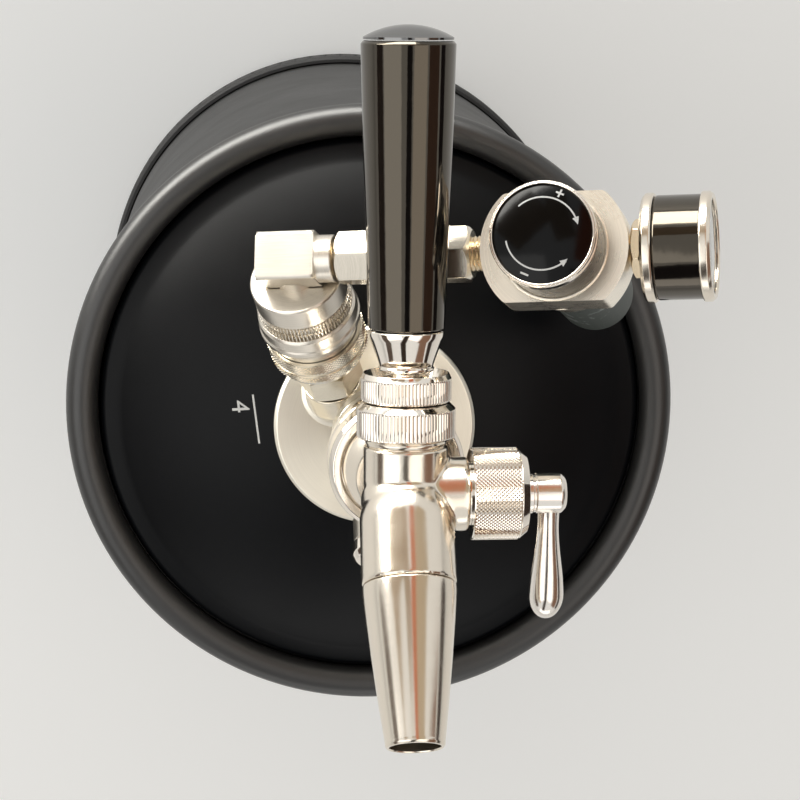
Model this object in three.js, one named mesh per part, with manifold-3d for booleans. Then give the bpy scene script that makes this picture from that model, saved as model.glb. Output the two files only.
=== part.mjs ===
// Mini keg beer dispenser: an insulated mini keg with a dispensing head, a chrome tap with flow
// control, and a mini gas regulator on a quick disconnect.
// Millimetres, +Z up. The origin is the centre of the keg's flat base.
import * as THREE from 'three';
import { mergeVertices } from 'three/addons/utils/BufferGeometryUtils.js';
import Module from 'manifold-3d';

// Clearances and facets
const fit = 0.3; // between pieces that touch
const overrun = 1; // how far a cut runs past the face that it leaves
const mergeDistance = 0.0001;
const kegSides = 36;
const tapSides = 20;
const smallSides = 12;
const arcSteps = 3;
const edgeSteps = 2;
const hexSides = 6;

// Keg
const bodyRadius = 86;
const rimHeight = 240; // centre of the rolled rim above the floor
const sheet = 1.2;
const rimTube = 4.75;
const rimProud = 4.5; // how far the rim stands out from the wall
const rimSteps = 10;
const bootHeight = 16;
const bootFloor = 4;
const bootWall = 2.4;
const baseRound = 7;
const domeInset = 5.7; // from the wall
const domeRise = 26; // highest point of the dome above the rim's centre
const domeEdgeRise = 1.5;
const domeRound = 3;
const domeSkirt = 8;
const vacuumGap = 6;
const vesselRise = 14;
const vesselShoulder = 12;
const vesselSteps = 2;

// Neck and screw cap
const neckRadius = 26;
const neckBore = 22.3;
const neckRise = 22.5; // top of the neck above the rim's centre
const neckDrop = 8;
const gasketThickness = 1.6;
const gasketWidth = 2.6;
const capRadius = 29.1;
const capThickness = 3.3;
const capChamfer = 0.6;
const capPlugDepth = 16;

// Liquid post and tap shank, along the leaning axis of the tap
const tapLean = 3; // degrees towards the spout
const tapSide = 1.7; // degrees to the right
const tapTurn = -0.7; // degrees about the shank
const tapX = 2.6;
const tapY = 0.2;
const postTail = 6.3;
const postTailDepth = 8;
const postHex = 10;
const postHexHeight = 5;
const postBarrel = 7.3;
const postBarrelTop = 13;
const postNipple = 4.6;
const postNippleTop = 21;
const liquidBore = 2.6;
const spearRadius = 4;
const spearBore = 3;
const spearFloorGap = 6;

const hubRadius = 16.1;
const hubWall = 2.4;
const hubFloor = 2.7;
const hubTop = 24.5;
const hubRound = 1.2;
const hubSealRecess = 1.5;
const hubSealWidth = 2.7;
const adapterFoot = 10.4;
const adapterHex = 12;
const adapterHexTop = 33;
const adapterThread = 15.6;
const adapterFace = 39.5;
const adapterBore = 4;

const couplingRadius = 18.5;
const couplingBack = 32;
const couplingFront = 45.5;
const couplingLip = 2.5;
const couplingChamfer = 1.2;
const washerThickness = 1.5;
const washerBore = 6.5;
const bellRadius = 14.8;

// Faucet body
const tapReach = 70.2; // from the cap to the crossing of shank and handle
const handleTilt = 5.4; // degrees back towards the keg
const tubeRadius = 11.1;
const bellLength = 9.5;
const waterBore = 8;
const seatBore = 6.3;
const seatRise = 2.5; // start of the seat beyond the neck's axis
const seatDepth = 11;
const elbowDrop = 5.9; // how far the elbow's centre lies below the shank's axis
const elbowForward = 6;
const elbowRadius = 12.4;
const neckTopRise = 13.4; // top of the faucet's neck above the shank's axis
const beadRadius = 10.7;
const beadHeight = 1.6;
const nippleRadius = 10.1;
const nippleTop = 21;
const leverBore = 8.6;

// Spout, along its own axis from the elbow's centre
const spoutLean = 33.2; // degrees forward of straight down
const spoutStart = 16.6;
const spoutEnd = 59.4;
const spoutTopRadius = 12.3;
const spoutTipRadius = 7.7;
const spoutLip = 1.1;
const spoutWaist = 36; // where the taper becomes even
const spoutWaistRadius = 10.5;
const spoutThread = 9.6;
const spoutThreadLength = 7;
const spoutPassage = 7;
const spoutPassageStart = 2;

// Collars, lever and handle, along the axis of the handle
const bonnetRadius = 12.9;
const bonnetTop = 24.6;
const bonnetChamfer = 1.5;
const lockRadius = 11.8;
const lockTop = 32.4;
const lockChamfer = 1.3;
const lockDishRadius = 11;
const lockDishFloor = 29.1;
const lockDishFloorRadius = 9.5;
const pivotRise = 26.5; // centre of the lever's ball above the shank's axis
const ballRadius = 6.5;
const socketShareHeights = [0, 0.24, 0.45]; // of the ball's radius, above the pivot
const leverSeatBottom = 21.3;
const leverSeatBore = 5.4;
const leverStem = 4.2;
const leverStemTop = 48;
const leverTail = 2.4;
const leverTailEnd = 23; // below the pivot
const leverTravel = 22; // degrees towards the drinker
const ferruleBottom = 32.6;
const ferruleTop = 43.6;
const ferruleWaist = 7.25;
const ferruleRadius = 9.9;
const ferruleFoot = 1.2;
const gripBottomRadius = 10;
const gripTopRadius = 12.3;
const gripTop = 118;
const gripRound = 0.8;
const handleCapRadius = 11.7;
const handleCapEdge = 0.6;
const handleCapRise = 3.2;

// Shuttle
const shuttleRadius = 5.4;
const shuttleHead = 5.9;
const shuttleHeadStart = 3.4; // beyond the neck's axis
const shuttleHeadLength = 3.8;
const shuttleLength = 24;
const shuttleSlot = 6.2;
const shuttleSlotFloor = 1;
const shuttleNeck = 3.6;
const sealWidth = 1.6;

// Flow control, along X from the shank's axis
const bossRadius = 9.8;
const bossEnd = 16.6;
const spigotRadius = 8.4;
const spigotEnd = 27;
const stemBore = 3.6;
const flowCollarRadius = 12.2;
const flowCollarEnd = 31.8;
const flowCollarChamfer = 2;
const stemStart = 8.8;
const stemShoulder = 28;
const flowHubRadius = 5.4;
const flowHubEnd = 42.6;
const flowHubRound = 1.6;
const flowRingAt = 20;
const flowRingWidth = 2;
const flowLeverAt = 38;
const flowLeverEnd = 34.7;
const flowLeverRadius = 4.7;
const flowLeverWaist = 2.7;
const flowLeverSpigot = 1.6;
const flowLeverSpigotDepth = 3.4;
const flowLeverShares = [0, 0.07, 0.3, 0.55, 0.7, 0.85, 0.95];
const flowLeverWidthShares = [0.1, 0.12, 0.3, 0.78, 1, 0.9, 0.5];

// Gas post and disconnect, along their leaning axis
const gasLean = 50; // degrees from upright
const gasAzimuth = 17; // degrees from +Y towards -X
const gasX = -10.9;
const gasY = 10;
const gasStub = 8.4;
const gasStubTop = 6.5;
const gasTail = 5;
const gasTailDepth = 8;
const gasDrill = 2.2;
const gasHex = 9.4;
const gasHexTop = 16;
const gasBarrel = 7;
const gasBarrelTop = 19.9;
const gasNipple = 5.2;
const gasNippleTop = 30;
const gasLip = 1.2;
const gasLipBore = 1.7;
const gasValveBore = 3.5;
const gasShelf = 17;
const gasShelfBore = 1.9;
const poppetPin = 1.3;
const poppetHead = 3;
const poppetHeadLength = 2;
const poppetDrop = 1.6; // room above the head, held down by the disconnect
const poppetTravel = 1.2;
const springWall = 0.8;

const bodyTube = 12.2;
const bodyCavity = 5.5;
const bodyCavityTop = 33.5;
const bodyPin = 1;
const bodyPassage = 1.3;
const bodyPassageOffset = 3.6;
const collarRadius = 13.9;
const collarBottom = 23;
const collarTop = 30.4;
const collarGroove = 12.9;
const collarGrooveBottom = 25.5;
const collarGrooveTop = 26.5;
const flangeRadius = 14.3;
const flangeBottom = 34.9;
const flangeTop = 37.2;
const flangeUpperRadius = 13.8;
const flangeUpperTop = 41.2;
const toothRadius = 13.3;
const toothStep = 0.4;
const toothMiddle = 43.7;
const toothTop = 45.9;
const bodySpigot = 9.4;
const bodySpigotTop = 49.8;
const discCapRadius = 12.9;
const discCapTop = 53.5;
const discCapRoof = 1.7;
const discCapRound = 0.5;
const elbowStem = 5.6;
const elbowFlange = 8.4;

// Gas line, along its own axis from the elbow's centre
const lineRise = 60.55; // elbow's centre above the cap, along the post's axis
const lineTurn = -20.3; // degrees about the post's axis
const blockTurn = 26; // degrees about the line's axis
const blockSize = 13.3;
const blockHalf = 8;
const blockRound = 1;
const lineBore = 1.8;
const elbowNeck = 6.5;
const elbowNeckEnd = 12.6;
const elbowThread = 4.8;
const elbowThreadEnd = 17;
const flareHex = 7.7;
const flareStart = 13.5;
const flareEnd = 28.1;
const flareLip = 3;
const hexChamfer = 1;
const couplerTail = 3.8;
const couplerTailStart = 22;
const couplerHead = 4.7;
const couplerHex = 8.1;
const couplerHexEnd = 50.3;
const couplerThread = 4.8;
const couplerEnd = 58.7;

// Regulator, along its own axis from the line's axis
const regulatorAt = 72.9; // along the line, from the elbow's centre
const regulatorTurn = 29; // degrees about the line's axis
const regulatorRadius = 19.6;
const regulatorHalf = 7;
const regulatorFlat = 14.5;
const regulatorChamfer = 1;
const stepRadius = 15.4;
const stepHeight = 0.8;
const sidePassage = 1.5;
const portDepth = 6;
const springCavity = 5.2;
const springCavityFloor = -3;
const spigotOuter = 7.2;
const spigotTop = 16;
const pistonThickness = 2.6;
const springTop = 13.4;
const bossBack = 13;
const bossBackEnd = 22;
const cartridgeBore = 4.9;
const pinSeat = 6;
const pinThickness = 1.5;
const pinTip = 1;
const pinTipLength = 0.9;

const knobNeck = 9.8;
const knobNeckTop = 17;
const knobRadius = 13.9;
const knobTop = 22;
const knobScrew = 4.6;
const knobSlope = 1.4;
const ringWall = 0.9;
const ringHeight = 3.2;
const faceRise = 4.2;
const faceEdge = 2.4;

const cartridgeRadius = 11;
const cartridgeNeck = 4.6;
const cartridgeNeckTop = 9.1;
const cartridgeShoulder = 17;
const cartridgeWall = 28;
const cartridgeEnd = 75;
const cartridgeDome = 8;

// Gauge, along the line's axis from the regulator's centre
const gaugeStem = 4;
const gaugeHex = 7.9;
const gaugeHexEnd = 22.7;
const gaugeSpigot = 3;
const gaugeRadius = 14.4;
const gaugeFlangeEnd = 26;
const gaugeCaseRadius = 13.7;
const gaugeCaseWall = 0.9;
const gaugeCaseEnd = 38.2;
const gaugePost = 1.6;
const gaugeEnd = 41.2;
const dialThickness = 0.6;
const dialSet = 1.4; // how deep the dial lies in the case
const needleThickness = 0.4;
const needleHub = 1.5;
const needleLength = 10.5;
const needleTail = 3;
const needleWidth = 0.9;
const lensThickness = 1;
const bezelLip = 2;

// Relief valve, along its own leaning axis
const reliefLean = 45; // degrees from upright
const reliefX = -1;
const reliefY = -17;
const reliefStub = 6.4;
const reliefStubTop = 3;
const reliefTail = 4;
const reliefTailDepth = 7;
const reliefDrill = 1.5;
const reliefHex = 7;
const reliefHexTop = 7;
const reliefBarrel = 5.7;
const reliefTop = 20;
const reliefBore = 3.4;
const reliefFloor = 8;
const reliefStem = 1.4;
const reliefSeal = 3;
const reliefSealThickness = 2;
const reliefRoof = 1.6;
const reliefHead = 6.3;
const reliefHeadHeight = 5.4;
const reliefHeadRound = 1.4;
const reliefTravel = 4;

const degrees = Math.PI / 180;

const wasm = await Module();
wasm.setup();

// A closed three.js geometry as a solid whose faces point out
function solid(geometry) {
  const bare = geometry.index ? geometry.toNonIndexed() : geometry.clone();
  for (const name of Object.keys(bare.attributes)) {
    if (name !== 'position') bare.deleteAttribute(name);
  }
  const merged = mergeVertices(bare, mergeDistance);
  const points = merged.attributes.position.array;
  const corners = merged.index.array;
  const triangles = [];
  let volume = 0;
  for (let i = 0; i < corners.length; i += 3) {
    const [a, b, c] = corners.slice(i, i + 3);
    if (a === b || b === c || c === a) continue;
    triangles.push([a, b, c]);
    const [p, q, r] = [a, b, c].map((v) => new THREE.Vector3().fromArray(points, v * 3));
    volume += p.dot(q.cross(r));
  }
  if (volume < 0) triangles.forEach((triangle) => triangle.reverse());
  const vertProperties = Float32Array.from(points);
  const triVerts = Uint32Array.from(triangles.flat());
  return new wasm.Manifold(new wasm.Mesh({ numProp: 3, vertProperties, triVerts }));
}

// Frames: the axis of a turned piece points along Z unless one of these turns it
const alongX = new THREE.Matrix4().makeRotationY(90 * degrees);
const downY = new THREE.Matrix4().makeRotationX(90 * degrees);
const backZ = new THREE.Matrix4().makeRotationX(180 * degrees);

function at(x, y, z, turn = new THREE.Matrix4()) {
  return new THREE.Matrix4().makeTranslation(x, y, z).multiply(turn);
}

// A piece turned about Z from points of radius and height
function turned(points, sides = tapSides, frame = at(0, 0, 0)) {
  const outline = points.map(([radius, height]) => new THREE.Vector2(radius, height));
  const open = points[0][0] !== 0 || points.at(-1)[0] !== 0;
  if (open) outline.push(outline[0].clone());
  const geometry = new THREE.LatheGeometry(outline, sides).rotateX(90 * degrees);
  return solid(geometry.applyMatrix4(frame));
}

function rod(radius, from, to, sides = tapSides, frame = at(0, 0, 0)) {
  return turned([[0, from], [radius, from], [radius, to], [0, to]], sides, frame);
}

function tube(outer, inner, from, to, sides = tapSides, frame = at(0, 0, 0)) {
  return turned([[inner, from], [outer, from], [outer, to], [inner, to]], sides, frame);
}

function ball(radius, frame) {
  return solid(new THREE.SphereGeometry(radius, tapSides, tapSides / 2).applyMatrix4(frame));
}

function box(width, depth, height, frame) {
  return solid(new THREE.BoxGeometry(width, depth, height).applyMatrix4(frame));
}

// A hexagonal bar with both rims of its corners turned off
function hexBar(corner, from, to, frame = at(0, 0, 0)) {
  const inner = corner * Math.cos(30 * degrees);
  const bar = rod(corner, from, to, hexSides, frame);
  const rims = [[0, from], [inner, from], [corner, from + hexChamfer], [corner, to - hexChamfer]];
  return bar.intersect(turned([...rims, [inner, to], [0, to]], tapSides, frame));
}

// Points of an arc of radius and height, between two angles in degrees
function arc(radius, height, round, from, to, steps = arcSteps) {
  const points = [];
  for (let i = 0; i <= steps; i += 1) {
    const angle = (from + ((to - from) * i) / steps) * degrees;
    points.push([radius + round * Math.cos(angle), height + round * Math.sin(angle)]);
  }
  return points;
}

// A dome's points, from a radius near the axis out to its edge
function crown(top, edgeRadius, edgeHeight, from, steps) {
  const rise = top - edgeHeight;
  const sphere = (edgeRadius ** 2 + rise ** 2) / (2 * rise);
  const points = [];
  for (let i = 0; i <= steps; i += 1) {
    const radius = from + ((edgeRadius - from) * i) / steps;
    points.push([radius, top - sphere + Math.sqrt(sphere ** 2 - radius ** 2)]);
  }
  return points;
}

const finishes = {
  blackCoat: { color: 0x17181a, roughness: 0.5, metalness: 0.2 },
  rubber: { color: 0x111111, roughness: 0.8, metalness: 0 },
  chrome: { color: 0xe9e2da, roughness: 0.08, metalness: 1 },
  satin: { color: 0xd8d0c2, roughness: 0.35, metalness: 1 },
  steel: { color: 0xc9c5bd, roughness: 0.3, metalness: 1 },
  blueSteel: { color: 0x8f9aa6, roughness: 0.3, metalness: 1 },
  gloss: { color: 0x0a0a0b, roughness: 0.12, metalness: 0 },
  green: { color: 0x3d4a45, roughness: 0.55, metalness: 0.4 },
  white: { color: 0xf2f2ee, roughness: 0.6, metalness: 0 },
  red: { color: 0xb02020, roughness: 0.5, metalness: 0 },
  glass: { color: 0xe8f0f2, roughness: 0.03, metalness: 0 },
};

// A solid as a named mesh in a group
function add(group, name, piece, finish) {
  const { vertProperties, triVerts } = piece.getMesh();
  const geometry = new THREE.BufferGeometry();
  geometry.setAttribute('position', new THREE.BufferAttribute(vertProperties, 3));
  geometry.setIndex(new THREE.BufferAttribute(triVerts, 1));
  geometry.computeVertexNormals();
  const mesh = new THREE.Mesh(geometry, new THREE.MeshStandardMaterial(finishes[finish]));
  mesh.name = name;
  group.add(mesh);
}

const dispenser = new THREE.Group();

// Keg
const shellFloor = bootFloor + fit;
const shellTop = rimHeight - rimTube - fit;
const shellBore = bodyRadius - sheet;
const domeRadius = bodyRadius - domeInset;
const vesselRadius = shellBore - vacuumGap;
const vesselFloor = shellFloor + sheet + vacuumGap;
const neckTop = rimHeight + neckRise;
const neckBottom = rimHeight + neckDrop;

function kegPieces(group) {
  const bootRadius = bodyRadius + fit + bootWall;
  add(group, 'base_boot', turned([
    [0, 0],
    [bootRadius - bootWall, 0],
    [bootRadius, bootWall],
    [bootRadius, bootHeight],
    [bodyRadius + fit, bootHeight],
    ...arc(bodyRadius - baseRound, shellFloor + baseRound, baseRound + fit, 0, -90),
    [0, bootFloor],
  ], kegSides), 'rubber');

  add(group, 'outer_shell', turned([
    [0, shellFloor],
    ...arc(bodyRadius - baseRound, shellFloor + baseRound, baseRound, -90, 0),
    [bodyRadius, shellTop],
    [shellBore, shellTop],
    ...arc(bodyRadius - baseRound, shellFloor + baseRound, baseRound - sheet, 0, -90),
    [0, shellFloor + sheet],
  ], kegSides), 'blackCoat');

  const rimRadius = bodyRadius + rimProud - rimTube;
  const rimPoints = arc(rimRadius, rimHeight, rimTube, 0, 360, rimSteps).slice(0, -1);
  add(group, 'top_rim', turned(rimPoints, kegSides), 'blackCoat');

  const domeTop = rimHeight + domeRise;
  const edge = domeRadius - domeRound;
  const edgeHeight = rimHeight + domeEdgeRise;
  const skirtBottom = rimHeight - domeSkirt;
  const hole = neckRadius + fit;
  const outside = crown(domeTop, edge, edgeHeight, hole, arcSteps + 1);
  add(group, 'top_dome', turned([
    ...outside,
    ...arc(edge, edgeHeight - domeRound, domeRound, 60, 0, edgeSteps),
    [domeRadius, skirtBottom],
    [shellBore - fit, skirtBottom],
    [shellBore - fit, skirtBottom - sheet],
    [domeRadius - sheet, skirtBottom - sheet],
    ...arc(edge, edgeHeight - domeRound, domeRound - sheet, 0, 60, edgeSteps),
    ...outside.reverse().map(([radius, height]) => [radius, height - sheet]),
  ], kegSides), 'blackCoat');

  const vesselTop = rimHeight + vesselRise;
  const shoulder = rimHeight - vesselShoulder;
  const edgeOfVessel = vesselRadius - baseRound;
  const over = crown(vesselTop, edgeOfVessel, shoulder + baseRound, hole, vesselSteps);
  add(group, 'inner_vessel', turned([
    [0, vesselFloor],
    ...arc(edgeOfVessel, vesselFloor + baseRound, baseRound, -90, 0),
    ...arc(edgeOfVessel, shoulder, baseRound, 0, 60, edgeSteps),
    ...over.slice().reverse(),
    ...over.map(([radius, height]) => [radius, height - sheet]),
    ...arc(edgeOfVessel, shoulder, baseRound - sheet, 60, 0, edgeSteps),
    ...arc(edgeOfVessel, vesselFloor + baseRound, baseRound - sheet, 0, -90),
    [0, vesselFloor + sheet],
  ], kegSides), 'steel');

  add(group, 'neck_ring', tube(neckRadius, neckBore, neckBottom, neckTop, kegSides), 'steel');
}

// Frames of the three ports on the cap
const capTop = neckTop + gasketThickness + 2 * fit + capThickness;
const capFloor = capTop - capThickness;

function portGroup(x, y, lean, side, azimuth, order) {
  const group = new THREE.Group();
  group.position.set(x, y, capTop);
  group.rotation.set(lean * degrees, side * degrees, azimuth * degrees, order);
  dispenser.add(group);
  group.updateMatrixWorld(true);
  return group;
}

const tap = portGroup(tapX, tapY, tapLean, tapSide, tapTurn, 'YXZ');
const gas = portGroup(gasX, gasY, -gasLean, 0, gasAzimuth, 'ZXY');
const relief = portGroup(reliefX, reliefY, reliefLean, 0, 0, 'ZXY');

function headPieces(group) {
  const plugFloor = capFloor - capPlugDepth;
  const gasketBottom = neckTop + fit;
  const gasketOuter = neckBore + fit + gasketWidth;
  add(group, 'head_gasket', tube(gasketOuter, neckBore + fit, gasketBottom,
    gasketBottom + gasketThickness, kegSides), 'rubber');

  let cap = turned([
    [0, plugFloor],
    [neckBore - fit, plugFloor],
    [neckBore - fit, capFloor],
    [capRadius, capFloor],
    [capRadius, capTop - capChamfer],
    [capRadius - capChamfer, capTop],
    [0, capTop],
  ], kegSides);
  const above = rod(capRadius, capFloor + fit, capTop + capRadius, tapSides);
  const stubs = [
    rod(gasStub, -gasStub, gasStubTop, tapSides, gas.matrixWorld),
    rod(reliefStub, -reliefStub, reliefStubTop, tapSides, relief.matrixWorld),
  ];
  for (const stub of stubs) cap = cap.add(stub.intersect(above));
  const spotFaces = [
    rod(postHex + fit, 0, capRadius, tapSides, tap.matrixWorld),
    rod(gasHex + fit, gasStubTop, capRadius, tapSides, gas.matrixWorld),
    rod(reliefHex + fit, reliefStubTop, capRadius, tapSides, relief.matrixWorld),
  ];
  for (const face of spotFaces) cap = cap.subtract(face);
  const bores = [
    rod(postTail + fit, -postTailDepth - fit, capThickness, smallSides, tap.matrixWorld),
    rod(spearRadius + fit, -capPlugDepth - 2 * capThickness, 0, smallSides, tap.matrixWorld),
    rod(gasTail + fit, -gasTailDepth - fit, gasStubTop + overrun, smallSides, gas.matrixWorld),
    rod(reliefTail + fit, -reliefTailDepth - fit, reliefStubTop + overrun, smallSides,
      relief.matrixWorld),
  ];
  for (const bore of bores) cap = cap.subtract(bore);
  for (const [port, depth, radius] of [
    [gas, gasTailDepth, gasDrill],
    [relief, reliefTailDepth, reliefDrill],
  ]) {
    const end = new THREE.Vector3(0, 0, -depth).applyMatrix4(port.matrixWorld);
    const drill = rod(radius, plugFloor - overrun, end.z, smallSides, at(end.x, end.y, 0));
    cap = cap.subtract(drill);
  }
  add(group, 'head_cap', cap, 'satin');
}

// Liquid post, hub and shank, along the tap's axis
function shankPieces(group) {
  const post = turned([
    [liquidBore, -postTailDepth],
    [postTail, -postTailDepth],
    [postTail, fit],
    [postBarrel, fit],
    [postBarrel, postBarrelTop],
    [postNipple, postBarrelTop],
    [postNipple, postNippleTop],
    [liquidBore, postNippleTop],
  ], smallSides);
  const base = hexBar(postHex, fit, postHexHeight).subtract(rod(postTail, 0, postHexHeight
    + overrun, smallSides));
  add(group, 'liquid_post', post.add(base), 'steel');

  const spearTop = -postTailDepth - fit;
  const spearBottom = vesselFloor + sheet + spearFloorGap - capTop;
  add(group, 'spear_tube', tube(spearRadius, spearBore, spearBottom, spearTop, smallSides),
    'steel');

  const hubFloorTop = postBarrelTop + fit + hubFloor;
  const hubBore = hubRadius - hubWall;
  add(group, 'hub_collar', turned([
    [postNipple + fit, postBarrelTop + fit],
    [hubRadius - hubRound, postBarrelTop + fit],
    [hubRadius, postBarrelTop + fit + hubRound],
    ...arc(hubRadius - hubRound, hubTop - hubRound, hubRound, 0, 90, edgeSteps),
    [hubBore, hubTop],
    [hubBore, hubFloorTop],
    [postNipple + fit, hubFloorTop],
  ]), 'chrome');

  const sealTop = hubTop - hubSealRecess;
  const sealOuter = hubBore - fit;
  add(group, 'hub_seal', tube(sealOuter, sealOuter - hubSealWidth, hubFloorTop + fit, sealTop),
    'rubber');

  const foot = hubFloorTop + fit;
  const body = turned([
    [adapterBore, foot],
    [adapterFoot, foot],
    [adapterFoot, adapterHexTop],
    [adapterThread, adapterHexTop],
    [adapterThread, adapterFace],
    [adapterBore, adapterFace],
  ]);
  const socket = rod(postNipple + fit, foot - overrun, postNippleTop + fit, smallSides);
  const hex = hexBar(adapterHex, hubTop + fit, adapterHexTop).subtract(rod(adapterFoot - fit,
    hubTop, adapterHexTop + overrun));
  add(group, 'tap_adapter', body.add(hex).subtract(socket), 'blueSteel');

  const lipBack = couplingFront - couplingLip;
  const thread = adapterThread + fit;
  add(group, 'coupling_nut', turned([
    [thread, couplingBack],
    [couplingRadius - couplingChamfer, couplingBack],
    [couplingRadius, couplingBack + couplingChamfer],
    [couplingRadius, couplingFront - couplingChamfer],
    [couplingRadius - couplingChamfer, couplingFront],
    [bellRadius + fit, couplingFront],
    [bellRadius + fit, lipBack],
    [thread, lipBack],
  ], tapSides), 'chrome');

  const washerBack = adapterFace + fit;
  add(group, 'coupling_washer', tube(adapterThread - fit, washerBore, washerBack,
    washerBack + washerThickness, smallSides), 'rubber');
}

const tailBack = adapterFace + washerThickness + 2 * fit;
const tailFront = couplingFront - couplingLip - fit;
const elbowCentre = new THREE.Vector3(0, -elbowDrop, tapReach + elbowForward);
const spoutTurn = new THREE.Matrix4().makeRotationX((90 - spoutLean) * degrees);
const spoutFrame = at(elbowCentre.x, elbowCentre.y, elbowCentre.z, spoutTurn);
const handleTurn = new THREE.Matrix4().makeRotationX(-(90 + handleTilt) * degrees);
const handleFrame = at(0, 0, tapReach, handleTurn);
const flowFrame = at(0, 0, tapReach, alongX);

function faucetPieces(group) {
  const bellEnd = couplingFront + bellLength;
  const slope = bellRadius - tubeRadius;
  const bellShares = [[0, 1], [0.2, 0.88], [0.45, 0.5], [0.7, 0.18], [1, 0]];
  const tail = turned([
    [0, tailBack],
    [adapterThread, tailBack],
    [adapterThread, tailFront],
    [bellRadius, tailFront],
    ...bellShares.map(([along, out]) => [
      tubeRadius + slope * out,
      couplingFront + bellLength * along,
    ]),
    [tubeRadius, tapReach],
    [0, tapReach],
  ]);
  const bend = new THREE.Vector3(0, 0, tapReach).sub(elbowCentre);
  const bendTurn = new THREE.Matrix4().makeRotationX(Math.atan2(-bend.y, bend.z));
  const bendFrame = at(elbowCentre.x, elbowCentre.y, elbowCentre.z, bendTurn);
  const bendRadius = (tubeRadius + elbowRadius) / 2;
  const outer = [
    ball(tubeRadius, at(0, 0, tapReach)),
    rod(bendRadius, 0, bend.length(), tapSides, bendFrame),
    ball(elbowRadius, spoutFrame),
    rod(elbowRadius, 0, spoutStart, tapSides, spoutFrame),
    rod(spoutThread, 0, spoutStart + spoutThreadLength, tapSides, spoutFrame),
    rod(tubeRadius, 0, neckTopRise, tapSides, handleFrame),
    rod(beadRadius, 0, neckTopRise + beadHeight, tapSides, handleFrame),
    rod(nippleRadius, 0, nippleTop, tapSides, handleFrame),
    rod(bossRadius, 0, bossEnd, tapSides, flowFrame),
    rod(spigotRadius, 0, spigotEnd, tapSides, flowFrame),
  ];
  let body = tail;
  for (const piece of outer) body = body.add(piece);
  // The lever's tail swings back into the neck's wall when the tap is open
  const open = new THREE.Matrix4().makeRotationX(leverTravel * degrees);
  const openFrame = handleFrame.clone().multiply(at(0, 0, pivotRise, open));
  const cuts = [
    rod(waterBore, tailBack - overrun, tapReach + seatRise, smallSides),
    rod(seatBore, tapReach, tapReach + seatRise + seatDepth, smallSides),
    rod(spoutPassage, spoutPassageStart, spoutStart + spoutThreadLength + overrun, smallSides,
      spoutFrame),
    rod(leverBore, 0, nippleTop + overrun, smallSides, handleFrame),
    rod(leverTail + 2 * fit, -leverTailEnd - fit, 0, smallSides, openFrame),
    rod(stemBore, 0, spigotEnd + overrun, smallSides, flowFrame),
    rod(stemBore + flowRingWidth, flowRingAt, flowRingAt + flowRingWidth + 2 * fit, smallSides,
      flowFrame),
  ];
  for (const cut of cuts) body = body.subtract(cut);
  add(group, 'faucet_body', body, 'chrome');

  const spoutBack = spoutStart + fit;
  const threadEnd = spoutStart + spoutThreadLength + fit;
  const tipBore = spoutTipRadius - spoutLip;
  add(group, 'faucet_spout', turned([
    [spoutThread + fit, spoutBack],
    [spoutTopRadius, spoutBack],
    [spoutWaistRadius, spoutWaist],
    [spoutTipRadius, spoutEnd - spoutLip],
    [spoutTipRadius - spoutLip / 3, spoutEnd],
    [tipBore, spoutEnd],
    [spoutPassage, threadEnd],
    [spoutThread + fit, threadEnd],
  ], tapSides, spoutFrame), 'chrome');
}

function collarPieces(group) {
  const bonnetBottom = neckTopRise + beadHeight + fit;
  add(group, 'bonnet_nut', turned([
    [nippleRadius + fit, bonnetBottom],
    [bonnetRadius, bonnetBottom],
    [bonnetRadius, bonnetTop - bonnetChamfer],
    [bonnetRadius - bonnetChamfer, bonnetTop],
    [nippleRadius + fit, bonnetTop],
  ], tapSides, handleFrame), 'chrome');

  const seatTop = pivotRise - ballRadius / 2;
  const seatOuter = nippleRadius;
  add(group, 'lever_seat', turned([
    [leverSeatBore, leverSeatBottom],
    [seatOuter, leverSeatBottom],
    [seatOuter, seatTop],
    [ballRadius - fit / 2, seatTop],
  ], smallSides, handleFrame), 'rubber');

  const socketRadius = ballRadius + fit + mergeDistance;
  const socket = socketShareHeights.map((share) => {
    const height = share * ballRadius;
    return [Math.sqrt(socketRadius ** 2 - height ** 2), pivotRise + height];
  });
  const [, lipHeight] = socket.at(-1);
  add(group, 'lock_collar', turned([
    [socketRadius, bonnetTop + fit],
    [lockRadius, bonnetTop + fit],
    [lockRadius, lockTop - lockChamfer],
    [lockDishRadius + fit, lockTop],
    [lockDishRadius, lockTop],
    [lockDishFloorRadius, lockDishFloor],
    [socketRadius, lipHeight],
    ...socket.reverse(),
  ], tapSides, handleFrame), 'chrome');
}

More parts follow.
